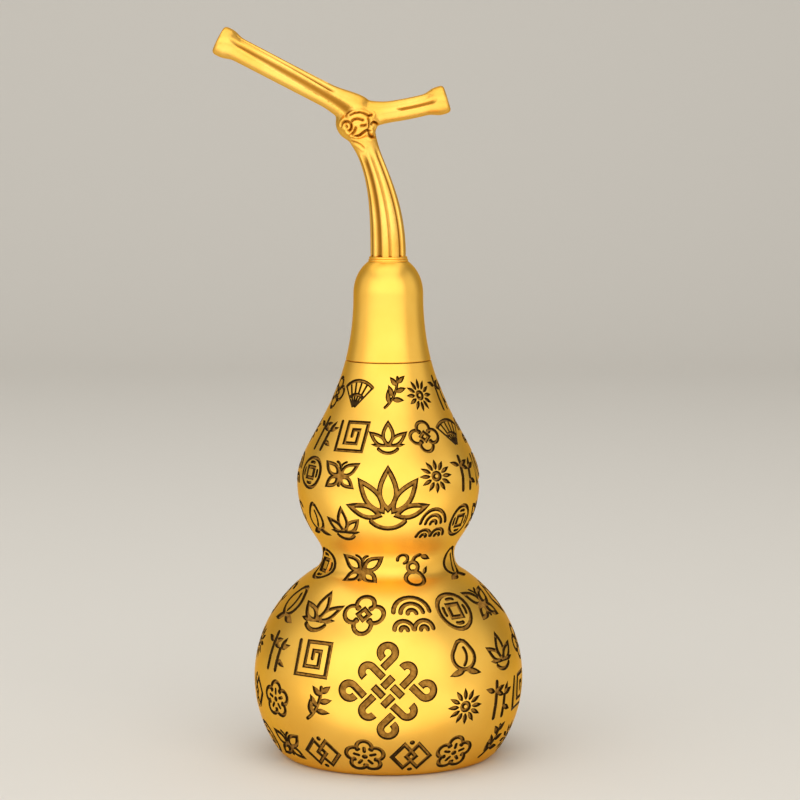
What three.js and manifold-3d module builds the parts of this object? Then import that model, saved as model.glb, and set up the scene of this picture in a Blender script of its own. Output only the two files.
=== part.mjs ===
// A cast brass gourd bottle: a hollow two-bulbed body, and a screw-in lid whose handle is a forked vine stem.
// Millimetres, +Z up. The origin is the middle of the flat foot, the front is at -Y, and the fork of the stem
// lies in the XZ plane.
import * as THREE from "three";
import { mergeVertices } from "three/addons/utils/BufferGeometryUtils.js";
import Module from "manifold-3d";

const wasm = await Module();
wasm.setup();

// Outer form of the gourd
const FOOT_R = 40.5; // flat ring that it stands on
const FOOT_EDGE = 6.5; // height of the rounded edge above the foot
const BULB_R = 54.4; // lower bulb, widest
const BULB_HALF = 52; // half height of the lower bulb's ellipse
const BULB_Z = 31.8; // height of the lower bulb's widest ring
const WAIST_R = 26.6;
const WAIST_Z = 82.4;
const WAIST_FILLET = 3.7; // how far out of the waist the lower bulb starts to turn up into it
const UPPER_R = 36.8; // upper bulb, widest
const UPPER_Z = 112.1;
const SEAM_Z = 160.3; // height of the joint between body and lid
const NECK_R = 14; // slimmest ring of the lid
const NECK_Z = 187;
const LID_TOP_R = 8.2; // flat that the stem's collar stands on
const LID_TOP_Z = 199.8;

// How the outline's curves leave and reach their ends, as shares of the stretch that they cross
const FILLET_FULLNESS = 0.9;
const WAIST_RISE = 0.21;
const UPPER_DROP = 0.63;
const UPPER_RISE = 0.22;
const NECK_DROP = 0.59;
const LID_SIDE_RISE = 0.47;
const LID_TOP_REACH = 0.55;
const LID_TOP_DROP = 0.19;

// Walls, the foot's closing plate and the lid's screw joint
const BODY_WALL = 3;
const FOOT_WALL = 4.6; // thickness of the ring around the closing plate
const PLATE_R = 34;
const PLATE_T = 2.4;
const PLATE_LEDGE = 3; // ring that the plate is soldered against
const LID_WALL = 3;
const LID_CROWN = 4.4; // thickness of the lid's top
const SOCKET_DEPTH = 8; // how far the threaded plug goes up into the lid
const SOCKET_WALL = 2.4;
const PLUG_WALL = 2;
const PLUG_DROP = 9.5; // how far the plug reaches down into the body
const PLUG_CHAMFER = 0.8;
const MOUTH_DEPTH = 12.5; // length of the body's cylindrical mouth
const SEAL_W = 1.7;
const SEAL_T = 1.5;

// Recessed ornament of the body
const RECESS_DEPTH = 0.9;
const RECESS_OPEN = 2.5; // how far the cuts start outside the surface
const STROKE_SAG = 0.7; // most that a straight piece of a stroke lies below the curve of the body
const LOTUS_DROP = 3.9; // middle of the large lotus below the upper bulb's widest ring
const LOTUS_HALF = 12.4;
const LOTUS_STROKE = 2.1;
const WEAVE_RISE = 4.6; // middle of the large woven knot above the lower bulb's widest ring
const WEAVE_STROKE = 3.1;
const WEAVE_PITCH = 5.24; // between the middles of two bands side by side
const WEAVE_BEND = 2.9; // radius of the loops at the knot's corners
const WEAVE_GAP = 0.87; // left on each side of a band that crosses over
const SMALL_STROKE = 0.216; // stroke of a small figure, as a share of its half height
const SMALL_WIDTH = 1.1; // width of a small figure, as a share of its height
const ROW_FILL = 0.92; // most of its room in the row that a small figure takes up

// Rows of small figures: lowest and highest edge as shares of the way between two heights of the gourd, how
// many figures, and the degrees left free on each side of the front
const ORNAMENT_ROWS = [
  { from: UPPER_Z, to: SEAM_Z, low: 0.608, high: 0.882, count: 10, free: 0 },
  { from: UPPER_Z, to: SEAM_Z, low: 0.293, high: 0.55, count: 12, free: 0 },
  { from: UPPER_Z, to: SEAM_Z, low: -0.035, high: 0.247, count: 12, free: 32 },
  { from: WAIST_Z, to: UPPER_Z, low: 0.303, high: 0.774, count: 13, free: 31 },
  { from: WAIST_Z, to: UPPER_Z, low: -0.303, high: 0.128, count: 8, free: 22.5 },
  { from: BULB_Z, to: WAIST_Z, low: 0.494, high: 0.775, count: 14, free: 12.9 },
  { from: BULB_Z, to: WAIST_Z, low: 0.154, high: 0.443, count: 13, free: 35 },
  { from: 0, to: BULB_Z, low: 0.66, high: 1.138, count: 15, free: 34 },
  { from: 0, to: BULB_Z, low: 0.082, high: 0.528, count: 17, free: 10.6 },
];

// Main stroke of each small figure, x to the right and y up, in a square from -1 to 1
const SMALL_FIGURES = [
  [[-0.8, 0.3], [0, 0.86], [0.8, 0.3]], // plum blossom
  [[-0.86, 0.86], [-0.86, -0.86], [0.86, -0.86]], // key fret
  [[-0.9, 0.2], [0, -0.6], [0.9, 0.2]], // lotus
  [[-0.6, -0.6], [0.6, -0.6]], // coin
  [[-0.2, -0.65], [0.6, 1]], // leaf sprig
  [[-0.7, -0.86], [0.7, -0.86]], // cloud scroll
  [[-0.9, 0], [0.9, 0]], // quatrefoil
  [[-0.85, 0.5], [0, 0], [0.85, 0.5]], // butterfly
  [[0, -0.95], [0, 0.95]], // chrysanthemum
  [[-0.4, -0.75], [0.3, -0.75]], // small gourd
  [[-0.8, 0.76], [0.8, 0.76]], // open fan
  [[-0.9, 0], [-0.34, -0.72]], // twin lozenge
  [[-0.4, -0.95], [-0.27, 0.95]], // bamboo
  [[-0.85, -0.72], [0.85, -0.72]], // peach
  [[-0.6, 0.76], [0.6, 0.76]], // waves
];
const FIGURE_STEPS = 4; // how far each place in a row moves on in the list of small figures
const ROW_STEPS = 3; // and how much further each new row does

// Petals of the large lotus: angle in degrees, length and width as shares of its half height
const LOTUS_PETALS = [
  [90, 1.3, 0.54], [53, 1.2, 0.44], [127, 1.2, 0.44], [17, 1.02, 0.36], [163, 1.02, 0.36],
];
const LOTUS_FOOT = -0.56; // height of the point that the petals spread from
const LOTUS_HEART = 0.3; // how far from there they start
const LOTUS_BELLY = 0.42; // share of a petal's length at which it is widest
const LOTUS_BASE = { height: -0.2, radius: 0.72, from: 222, to: 318 }; // curved line under the petals

// Fastening of the stem
const COLLAR_R = 8;
const COLLAR_T = 2;
const COLLAR_ROUND = 0.6;
const STUD_R = 3;
const STUD_IN_STEM = 12;
const STUD_BELOW_NUT = 1.4;
const NUT_FLATS = 10;
const NUT_T = 5;
const WASHER_R = 6;
const WASHER_T = 1.2;
const WASHER_ROOM = 1; // flat around the washer

// Vine stem, from the middle of its foot: x to the side, z up
const STEM_FOOT_R = 7.2;
const STEM_NECK_R = 4.7; // slimmest, below the knot
const KNOT_X = -12.6;
const KNOT_Z = 53;
const KNOT_HALF = [8.4, 7.6, 7.8]; // half sizes of the knot along x, y and z
const LONG_ARM_X = -66.4; // end of the long arm
const LONG_ARM_Z = 85.4;
const LONG_ARM_R = 4.8;
const LONG_ARM_LIP = 6.1; // flared lip at the cut end
const SHORT_ARM_X = 22.4;
const SHORT_ARM_Z = 62.2;
const SHORT_ARM_R = 4.3;
const SHORT_ARM_LIP = 5.7;
const ROOT_SWELL = 1.6; // how much thicker a branch is where it grows out of the knot
const ROOT_LENGTH = 14; // and how far along it that is gone
const LIP_LENGTH = 8; // how far a flared end runs back along its arm
const END_ROUND = 1.4; // rounded rim of a cut end
const FLUTES = 7; // grooves around the stem and its arms
const FLUTE_DEPTH = 0.15; // share of the branch's own radius
const TRUNK_UPRIGHT = 0.45; // share of the knot's height over which the trunk starts upright
const TRUNK_LEAN = [0.45, 0.68]; // shares of the knot's x and z that the trunk's last bend is drawn to
const LONG_ROOT = 0.6; // share of the knot's half height that an arm grows out above its middle
const SHORT_ROOT = 0.4;
const SHORT_SAG = 0.1; // share of the short arm's rise that it has made by half way

// Clearances between pieces
const SEAM_GAP = 0.3; // between the lid's rim and the body's
const SCREW_GAP = 0.3; // around the turning plug
const SEAT_GAP = 0.2; // between pieces that are soldered or clamped together

// Fineness of the facets
const TURNED_SIDES = 32;
const SMALL_SIDES = 24;
const BRANCH_STEPS = 9;
const SIDES_PER_FLUTE = 4;
const KNOT_SIDES = 18;
const KNOT_RINGS = 12;
const BODY_OUTSIDE_STEPS = { edge: 3, bulb: 10, fillet: 3, upper: 4, neck: 6 };
const BODY_INSIDE_STEPS = { bulb: 7, fillet: 2, upper: 3, neck: 4 };
const LID_OUTSIDE_STEPS = { neck: 6, shoulder: 5 };
const LID_INSIDE_STEPS = { neck: 3, shoulder: 3 };
const LOOP_STEPS = 4;
const BEND_STEPS = 2;
const LID_CORNER_ROOM = 1; // least height between a corner of the lid's hollow and the curve of its wall
const WELD = 1e-3;
const HALVINGS = 40;

const { degToRad, lerp, smoothstep } = THREE.MathUtils;
const point = (r, z) => new THREE.Vector2(r, z);

// Materials
const brass = new THREE.MeshStandardMaterial({ color: 0xd9a441, roughness: 0.3, metalness: 1 });
const castBrass = new THREE.MeshStandardMaterial({ color: 0xdba94a, roughness: 0.36, metalness: 1 });
const zincSteel = new THREE.MeshStandardMaterial({ color: 0xb9bcc0, roughness: 0.4, metalness: 1 });
const sealRubber = new THREE.MeshStandardMaterial({ color: 0x2a2623, roughness: 0.8, metalness: 0 });

function node(name, geometry, material) {
  const mesh = new THREE.Mesh(geometry, material);
  mesh.name = name;
  return mesh;
}

// A solid of revolution about Z from a closed outline of (radius, height) points, listed anticlockwise
function turned(outline, sides = TURNED_SIDES) {
  const closed = [...outline, outline[0]];
  return new THREE.LatheGeometry(closed, sides).rotateX(Math.PI / 2);
}

// A plain ring or tube between two radii and two heights
function ring(inner, outer, low, high, sides = TURNED_SIDES) {
  return turned([point(inner, low), point(outer, low), point(outer, high), point(inner, high)], sides);
}

function solidOf(geometry) {
  const bare = geometry.clone();
  bare.deleteAttribute("normal");
  bare.deleteAttribute("uv");
  const merged = mergeVertices(bare, WELD);
  return new wasm.Manifold(
    new wasm.Mesh({
      numProp: 3,
      vertProperties: merged.attributes.position.array,
      triVerts: new Uint32Array(merged.index.array),
    }),
  );
}

function geometryOf(solid) {
  const mesh = solid.getMesh();
  const geometry = new THREE.BufferGeometry();
  geometry.setAttribute("position", new THREE.BufferAttribute(mesh.vertProperties, 3));
  geometry.setIndex(new THREE.BufferAttribute(mesh.triVerts, 1));
  geometry.computeVertexNormals();
  return geometry;
}

// The gourd's outline, in the stretches that it is drawn with
const bulbHeightAt = (r) => BULB_HALF * Math.sqrt(1 - (r / BULB_R) ** 2);
const bulbRadiusAt = (z) => BULB_R * Math.sqrt(1 - ((z - BULB_Z) / BULB_HALF) ** 2);

const edgeTop = point(bulbRadiusAt(FOOT_EDGE), FOOT_EDGE);
const edgeSlope = ((BULB_Z - FOOT_EDGE) / edgeTop.x) * (BULB_R / BULB_HALF) ** 2; // dr/dz of the bulb there
const footEdge = new THREE.QuadraticBezierCurve(
  point(FOOT_R, 0),
  point(edgeTop.x - FOOT_EDGE * edgeSlope, 0),
  edgeTop,
);

const shoulderR = WAIST_R + WAIST_FILLET;
const shoulder = point(shoulderR, BULB_Z + bulbHeightAt(shoulderR));
const angleOnBulb = (p) => Math.atan2((p.y - BULB_Z) / BULB_HALF, p.x / BULB_R);
const lowerBulb = new THREE.EllipseCurve(
  0, BULB_Z, BULB_R, BULB_HALF, angleOnBulb(edgeTop), angleOnBulb(shoulder), false,
);

const shoulderTangent = lowerBulb.getTangent(1);
const filletReach = (WAIST_Z - shoulder.y) / 2; // how long the fillet keeps each end's direction
const waistFillet = new THREE.CubicBezierCurve(
  shoulder,
  shoulder.clone().addScaledVector(shoulderTangent, filletReach * FILLET_FULLNESS),
  point(WAIST_R, WAIST_Z - filletReach),
  point(WAIST_R, WAIST_Z),
);

const underUpperBulb = new THREE.CubicBezierCurve(
  point(WAIST_R, WAIST_Z),
  point(WAIST_R, WAIST_Z + WAIST_RISE * (UPPER_Z - WAIST_Z)),
  point(UPPER_R, UPPER_Z - UPPER_DROP * (UPPER_Z - WAIST_Z)),
  point(UPPER_R, UPPER_Z),
);

// One long S from the upper bulb to the lid's neck. The seam cuts across it.
const neckSweep = new THREE.CubicBezierCurve(
  point(UPPER_R, UPPER_Z),
  point(UPPER_R, UPPER_Z + UPPER_RISE * (NECK_Z - UPPER_Z)),
  point(NECK_R, NECK_Z - NECK_DROP * (NECK_Z - UPPER_Z)),
  point(NECK_R, NECK_Z),
);

const lidShoulder = new THREE.CubicBezierCurve(
  point(NECK_R, NECK_Z),
  point(NECK_R, NECK_Z + LID_SIDE_RISE * (LID_TOP_Z - NECK_Z)),
  point(LID_TOP_R + LID_TOP_REACH * (NECK_R - LID_TOP_R), LID_TOP_Z - LID_TOP_DROP * (LID_TOP_Z - NECK_Z)),
  point(LID_TOP_R, LID_TOP_Z),
);

// Place along a rising curve, from 0 to 1, where it reaches a height
function placeAt(curve, z) {
  let low = 0;
  let high = 1;
  for (let i = 0; i < HALVINGS; i++) {
    const middle = (low + high) / 2;
    if (curve.getPoint(middle).y < z) low = middle;
    else high = middle;
  }
  return low;
}

const sweepAt = (z) => placeAt(neckSweep, z);
const radiusOnSweep = (z) => neckSweep.getPoint(sweepAt(z)).x;

// Evenly spaced points of a curve between two of its parameters, without the last one
function stretch(curve, count, from = 0, to = 1) {
  return Array.from({ length: count }, (_, i) => curve.getPoint(from + ((to - from) * i) / count));
}

// An open outline moved inwards, square to itself
function inset(outline, distance) {
  return outline.map((p, i) => {
    const before = outline[Math.max(i - 1, 0)];
    const after = outline[Math.min(i + 1, outline.length - 1)];
    const along = after.clone().sub(before).normalize();
    return point(p.x - along.y * distance, p.y + along.x * distance);
  });
}

// Sizes of the screw joint, from the lid's outside at the top of the plug's socket
const lidRimZ = SEAM_Z + SEAM_GAP;
const socketTop = lidRimZ + SOCKET_DEPTH;
const socketR = radiusOnSweep(socketTop) - SOCKET_WALL;
const plugR = socketR - SEAT_GAP;
const mouthR = plugR + SCREW_GAP;
const sealR = mouthR + SEAL_W;
const sealBottom = SEAM_Z + SEAM_GAP - SEAT_GAP - SEAL_T;

// The whole outside, from the foot up to the lid's neck, for the figures that are laid out on it
const gourdSide = new THREE.CurvePath();
gourdSide.curves.push(footEdge, lowerBulb, waistFillet, underUpperBulb, neckSweep);
const sideLength = gourdSide.getLength();
const lengthAt = (z) => placeAt(gourdSide, z) * sideLength;

// A closed outline of one stroke along a path, with square ends and mitred corners
function band(path, width) {
  const left = [];
  const right = [];
  path.forEach((p, i) => {
    const into = p.clone().sub(path[i - 1] ?? p).normalize();
    const onward = (path[i + 1] ?? p).clone().sub(p).normalize();
    const along = into.clone().add(onward).normalize();
    const reach = width / 2 / Math.max(along.dot(into), along.dot(onward));
    const across = point(-along.y, along.x).multiplyScalar(reach);
    left.unshift(p.clone().add(across));
    right.push(p.clone().sub(across));
  });
  return [...right, ...left];
}

// A path whose long straight pieces are divided, so that they follow a curve of the given radius
function divided(path, radius) {
  const longest = Math.sqrt(8 * radius * STROKE_SAG);
  return path.flatMap((p, i) => {
    const before = path[i - 1] ?? p;
    const pieces = Math.max(Math.ceil(before.distanceTo(p) / longest), 1);
    return Array.from({ length: pieces }, (_, k) => before.clone().lerp(p, (k + 1) / pieces));
  });
}

// The solid that cuts a stroke into the body. The stroke is in millimetres around a place that is given by
// its angle from the front and its length up the outline.
function strokeCut(path, width, angle, middle) {
  const stroke = band(divided(path, gourdSide.getPoint(middle / sideLength).x), width);
  const layer = (out) => stroke.flatMap(({ x, y }) => {
    const t = (middle + y) / sideLength;
    const { x: radius, y: z } = gourdSide.getPoint(t);
    const along = gourdSide.getTangent(t);
    const turn = angle + x / radius;
    const reach = radius + along.y * out;
    return [reach * Math.sin(turn), -reach * Math.cos(turn), z - along.x * out];
  });
  const count = stroke.length;
  const index = [];
  for (const [a, b, c] of THREE.ShapeUtils.triangulateShape(stroke, [])) {
    index.push(a, b, c, count + c, count + b, count + a);
  }
  for (let i = 0; i < count; i++) {
    const next = (i + 1) % count;
    index.push(count + i, count + next, next, count + i, next, i);
  }
  const geometry = new THREE.BufferGeometry();
  const corners = [...layer(RECESS_OPEN), ...layer(-RECESS_DEPTH)];
  geometry.setAttribute("position", new THREE.Float32BufferAttribute(corners, 3));
  geometry.setIndex(index);
  return solidOf(geometry);
}

// Points of a circular arc between two angles in degrees
function arc(x, y, radius, from, to, steps) {
  const [start, end] = [from, to].map(degToRad);
  return new THREE.EllipseCurve(x, y, radius, radius, start, end, end < start).getPoints(steps);
}

// An endless knot on its corner: each quarter has a loop at the corner, a bend at the side and a straight
// piece between them, and a band stops on each side of one that crosses over it
function largeKnot() {
  const near = WEAVE_PITCH / 2;
  const far = 3 * near;
  const clear = WEAVE_STROKE / 2 + WEAVE_GAP;
  const end = far + WEAVE_BEND;
  const quarter = [
    [point(-far, near + clear), ...arc(-end, end, WEAVE_BEND, 0, 270, LOOP_STEPS), point(-far - clear, far)],
    [point(near, near + clear), ...arc(0, end, near, 0, 180, BEND_STEPS), point(-near, far + clear)],
    [point(-near, clear - near), point(-near, far - clear)],
  ];
  const middle = point(0, 0);
  const quarters = [1, 3, 5, 7].map((eighths) => (eighths * Math.PI) / 4);
  return quarters.flatMap((turn) =>
    quarter.map((path) => path.map((p) => p.clone().rotateAround(middle, turn))),
  );
}

// An open lotus: each petal is drawn up one side to its tip and down the other, over a curved line
function largeLotus() {
  const polar = (angle, reach, aside) => {
    const along = point(Math.cos(angle), Math.sin(angle));
    return point(along.x * reach - along.y * aside, along.y * reach + along.x * aside + LOTUS_FOOT)
      .multiplyScalar(LOTUS_HALF);
  };
  const aside = LOTUS_STROKE / 2 / LOTUS_HALF;
  const petals = LOTUS_PETALS.map(([degrees, length, width]) => {
    const angle = degToRad(degrees);
    const tip = LOTUS_HEART + length;
    const belly = LOTUS_HEART + length * LOTUS_BELLY;
    return [
      polar(angle, LOTUS_HEART, aside),
      polar(angle, belly, width / 2),
      polar(angle, tip, 0),
      polar(angle, belly, -width / 2),
      polar(angle, LOTUS_HEART, -aside),
    ];
  });
  const { height, radius, from, to } = LOTUS_BASE;
  return [...petals, arc(0, height * LOTUS_HALF, radius * LOTUS_HALF, from, to, BEND_STEPS)];
}

// Every recess of the body: two large figures at the front, and rows of small figures all round
function ornament() {
  const cuts = [
    ...largeLotus().map((path) => strokeCut(path, LOTUS_STROKE, 0, lengthAt(UPPER_Z - LOTUS_DROP))),
    ...largeKnot().map((path) => strokeCut(path, WEAVE_STROKE, 0, lengthAt(BULB_Z + WEAVE_RISE))),
  ];
  let figure = 0;
  ORNAMENT_ROWS.forEach(({ from, to, low, high, count, free }, row) => {
    const [bottom, top] = [low, high].map((share) => lengthAt(lerp(from, to, share)));
    const middle = (bottom + top) / 2;
    const half = (top - bottom) / 2;
    const start = degToRad(free);
    const step = free ? (2 * Math.PI - 2 * start) / (count - 1) : (2 * Math.PI) / count;
    const room = step * gourdSide.getPoint(middle / sideLength).x;
    const halfWidth = Math.min(half * SMALL_WIDTH, (room * ROW_FILL) / 2);
    for (let i = 0; i < count; i++) {
      figure += 1;
      const main = SMALL_FIGURES[(figure * FIGURE_STEPS + row * ROW_STEPS) % SMALL_FIGURES.length];
      const path = main.map(([x, y]) => point(x * halfWidth, y * half));
      cuts.push(strokeCut(path, half * SMALL_STROKE, start + i * step, middle));
    }
  });
  return cuts;
}

function bodyShell() {
  const seam = sweepAt(SEAM_Z);
  const bulbs = (steps) => [
    ...stretch(lowerBulb, steps.bulb),
    ...stretch(waistFillet, steps.fillet),
    ...stretch(underUpperBulb, steps.upper),
    ...stretch(neckSweep, steps.neck, 0, seam),
    neckSweep.getPoint(seam),
  ];
  const outside = [...stretch(footEdge, BODY_OUTSIDE_STEPS.edge), ...bulbs(BODY_OUTSIDE_STEPS)];
  const wall = bulbs(BODY_INSIDE_STEPS);
  const mouthBottom = SEAM_Z - MOUTH_DEPTH;
  const floor = FOOT_WALL + BODY_WALL / 2;
  const inside = inset(wall, BODY_WALL).filter((p) => p.y > floor && p.y < mouthBottom - BODY_WALL);
  const ledgeR = PLATE_R - PLATE_LEDGE;
  const plain = turned([
    point(PLATE_R, 0),
    ...outside,
    point(sealR + SEAT_GAP, SEAM_Z),
    point(sealR + SEAT_GAP, sealBottom - SEAT_GAP),
    point(mouthR, sealBottom - SEAT_GAP),
    point(mouthR, mouthBottom),
    ...inside.reverse(),
    point(ledgeR, FOOT_WALL),
    point(ledgeR, PLATE_T + SEAT_GAP),
    point(PLATE_R, PLATE_T + SEAT_GAP),
  ]);
  return geometryOf(ornament().reduce((body, cut) => body.subtract(cut), solidOf(plain)));
}

function basePlate() {
  const r = PLATE_R - SEAT_GAP;
  return turned([point(0, 0), point(r, 0), point(r, PLATE_T), point(0, PLATE_T)]);
}

function sealRing() {
  return ring(mouthR, sealR, sealBottom, sealBottom + SEAL_T);
}

const boltHoleR = STUD_R + SEAT_GAP;
const crownUnder = LID_TOP_Z - LID_CROWN;

function lidShell() {
  const rim = sweepAt(lidRimZ);
  const side = (steps) => [
    ...stretch(neckSweep, steps.neck, rim, 1),
    ...stretch(lidShoulder, steps.shoulder),
  ];
  const outside = [...side(LID_OUTSIDE_STEPS), lidShoulder.getPoint(1)];
  const inside = inset(side(LID_INSIDE_STEPS), LID_WALL);
  const hollow = inside.filter(
    (p) => p.y > socketTop + LID_CORNER_ROOM && p.y < crownUnder - LID_CORNER_ROOM,
  );
  const throatR = plugR - PLUG_WALL;
  return turned([
    point(socketR, lidRimZ),
    ...outside,
    point(boltHoleR, LID_TOP_Z),
    point(boltHoleR, crownUnder),
    point(WASHER_R + WASHER_ROOM, crownUnder),
    ...hollow.reverse(),
    point(throatR, socketTop),
    point(socketR, socketTop),
  ]);
}

function lidPlug() {
  const bottom = SEAM_Z - PLUG_DROP;
  const bore = plugR - PLUG_WALL;
  return turned([
    point(bore, bottom),
    point(plugR - PLUG_CHAMFER, bottom),
    point(plugR, bottom + PLUG_CHAMFER),
    point(plugR, socketTop - SEAT_GAP),
    point(bore, socketTop - SEAT_GAP),
  ]);
}

const collarBottom = LID_TOP_Z + SEAT_GAP;
const stemFoot = collarBottom + COLLAR_T + SEAT_GAP;

function stemCollar() {
  const top = collarBottom + COLLAR_T;
  return turned([
    point(boltHoleR, collarBottom),
    point(COLLAR_R - COLLAR_ROUND, collarBottom),
    point(COLLAR_R, collarBottom + COLLAR_ROUND),
    point(COLLAR_R, top - COLLAR_ROUND),
    point(COLLAR_R - COLLAR_ROUND, top),
    point(boltHoleR, top),
  ]);
}

const washerTop = crownUnder - SEAT_GAP;
const nutTop = washerTop - WASHER_T - SEAT_GAP;

function stemStud() {
  const low = nutTop - NUT_T - STUD_BELOW_NUT;
  const high = stemFoot + STUD_IN_STEM - SEAT_GAP;
  return turned([point(0, low), point(STUD_R, low), point(STUD_R, high), point(0, high)], SMALL_SIDES);
}

function stemWasher() {
  return ring(boltHoleR, WASHER_R, washerTop - WASHER_T, washerTop, SMALL_SIDES);
}

function stemNut() {
  const corner = NUT_FLATS / Math.sqrt(3);
  const corners = Array.from({ length: 6 }, (_, i) => {
    const angle = (i * Math.PI) / 3;
    return point(corner * Math.cos(angle), corner * Math.sin(angle));
  });
  const hexagon = new THREE.Shape(corners);
  hexagon.holes.push(new THREE.Path().absarc(0, 0, boltHoleR, 0, 2 * Math.PI, true));
  const bar = new THREE.ExtrudeGeometry(hexagon, {
    depth: NUT_T, bevelEnabled: false, curveSegments: SMALL_SIDES / 2,
  });
  return bar.translate(0, 0, nutTop - NUT_T);
}

// Radius of a fluted branch, all the way round it: broad ridges with narrow grooves between them
function flutedRadius(radius, angle) {
  const groove = (0.5 + 0.5 * Math.cos(FLUTES * angle)) ** 2;
  return radius * (1 - FLUTE_DEPTH * groove);
}

// A closed fluted branch along a curve in the XZ plane, with a rounded rim at its far end
function branch(curve, radiusAt) {
  const sides = FLUTES * SIDES_PER_FLUTE;
  const across = new THREE.Vector3(0, 1, 0);
  const endTangent = curve.getTangent(1);
  const rings = Array.from({ length: BRANCH_STEPS + 1 }, (_, k) => {
    const t = k / BRANCH_STEPS;
    return { centre: curve.getPoint(t), along: curve.getTangent(t), radius: radiusAt(t) };
  });
  const end = curve.getPoint(1).addScaledVector(endTangent, END_ROUND);
  rings.push({ centre: end, along: endTangent, radius: radiusAt(1) - END_ROUND });
  const positions = [];
  for (const { centre, along, radius } of rings) {
    const outward = new THREE.Vector3().crossVectors(across, along);
    for (let i = 0; i < sides; i++) {
      const angle = (i * 2 * Math.PI) / sides;
      const reach = flutedRadius(radius, angle);
      const p = centre.clone()
        .addScaledVector(outward, reach * Math.cos(angle))
        .addScaledVector(across, reach * Math.sin(angle));
      positions.push(p.x, p.y, p.z);
    }
  }
  const start = rings[0].centre;
  positions.push(start.x, start.y, start.z, end.x, end.y, end.z);
  const lastRing = (rings.length - 1) * sides;
  const startIndex = rings.length * sides;
  const index = [];
  for (let i = 0; i < sides; i++) {
    const next = (i + 1) % sides;
    for (let ring = 0; ring < lastRing; ring += sides) {
      const [a, b, c, d] = [ring + i, ring + next, ring + sides + next, ring + sides + i];
      index.push(a, b, c, a, c, d);
    }
    index.push(startIndex, next, i, startIndex + 1, lastRing + i, lastRing + next);
  }
  const geometry = new THREE.BufferGeometry();
  geometry.setAttribute("position", new THREE.Float32BufferAttribute(positions, 3));
  geometry.setIndex(index);
  return geometry;
}

const xz = (x, z) => new THREE.Vector3(x, 0, z);

// An arm's radius: swollen at its root in the knot, and flared to a lip at its cut end
function armRadius(radius, lip, length) {
  return (t) => {
    const root = ROOT_SWELL * (1 - smoothstep(t, 0, ROOT_LENGTH / length));
    return radius + root + (lip - radius) * smoothstep(t, 1 - LIP_LENGTH / length, 1);
  };
}

function vineStem() {
  const knot = xz(KNOT_X, KNOT_Z);
  const trunk = new THREE.CubicBezierCurve3(
    xz(0, 0), xz(0, TRUNK_UPRIGHT * KNOT_Z), xz(TRUNK_LEAN[0] * KNOT_X, TRUNK_LEAN[1] * KNOT_Z), knot,
  );
  const trunkRoot = 1 - ROOT_LENGTH / trunk.getLength();
  const trunkRadius = (t) =>
    lerp(STEM_FOOT_R, STEM_NECK_R, smoothstep(t, 0, trunkRoot)) + ROOT_SWELL * smoothstep(t, trunkRoot, 1);
  const longEnd = xz(LONG_ARM_X, LONG_ARM_Z);
  const longRoot = xz(KNOT_X, KNOT_Z + LONG_ROOT * KNOT_HALF[2]);
  const longArm = new THREE.LineCurve3(longRoot, longEnd);
  const shortEnd = xz(SHORT_ARM_X, SHORT_ARM_Z);
  const shortRoot = xz(KNOT_X, KNOT_Z + SHORT_ROOT * KNOT_HALF[2]);
  const shortMiddle = xz((KNOT_X + SHORT_ARM_X) / 2, shortRoot.z + SHORT_SAG * (SHORT_ARM_Z - shortRoot.z));
  const shortArm = new THREE.QuadraticBezierCurve3(shortRoot, shortMiddle, shortEnd);
  const knotBall = new THREE.SphereGeometry(1, KNOT_SIDES, KNOT_RINGS).rotateX(Math.PI / 2)
    .scale(...KNOT_HALF)
    .translate(KNOT_X, 0, KNOT_Z);
  const bore = new THREE.CylinderGeometry(boltHoleR, boltHoleR, 2 * STUD_IN_STEM, SMALL_SIDES)
    .rotateX(Math.PI / 2);
  const forked = solidOf(branch(trunk, trunkRadius))
    .add(solidOf(branch(longArm, armRadius(LONG_ARM_R, LONG_ARM_LIP, longArm.getLength()))))
    .add(solidOf(branch(shortArm, armRadius(SHORT_ARM_R, SHORT_ARM_LIP, shortArm.getLength()))))
    .add(solidOf(knotBall))
    .subtract(solidOf(bore));
  return geometryOf(forked);
}

// The bottle, and the lid with everything that turns with it
const bottle = new THREE.Group();
bottle.add(node("body_shell", bodyShell(), brass), node("base_plate", basePlate(), brass));

const stem = node("vine_stem", vineStem(), castBrass);
stem.position.z = stemFoot;

const lid = new THREE.Group();
lid.add(
  node("lid_shell", lidShell(), brass),
  node("lid_plug", lidPlug(), brass),
  node("seal_ring", sealRing(), sealRubber),
  node("stem_collar", stemCollar(), brass),
  node("stem_stud", stemStud(), zincSteel),
  node("stem_washer", stemWasher(), zincSteel),
  node("stem_nut", stemNut(), zincSteel),
  stem,
);

const gourdBottle = new THREE.Group();
gourdBottle.add(bottle, lid);

export default gourdBottle;
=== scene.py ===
"""Looks of a cast brass gourd bottle: a two-bulbed body with recessed ornament, a smooth lid and a vine stem.

Pieces are modelled in millimetres and set down in metres. Angle 0 is the front of the gourd, at -Y, and
angles grow towards +X.
"""

import math
from bisect import bisect_right

import bmesh
import bpy
from mathutils import Matrix, Vector, kdtree
from mathutils.geometry import delaunay_2d_cdt, interpolate_bezier


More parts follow.
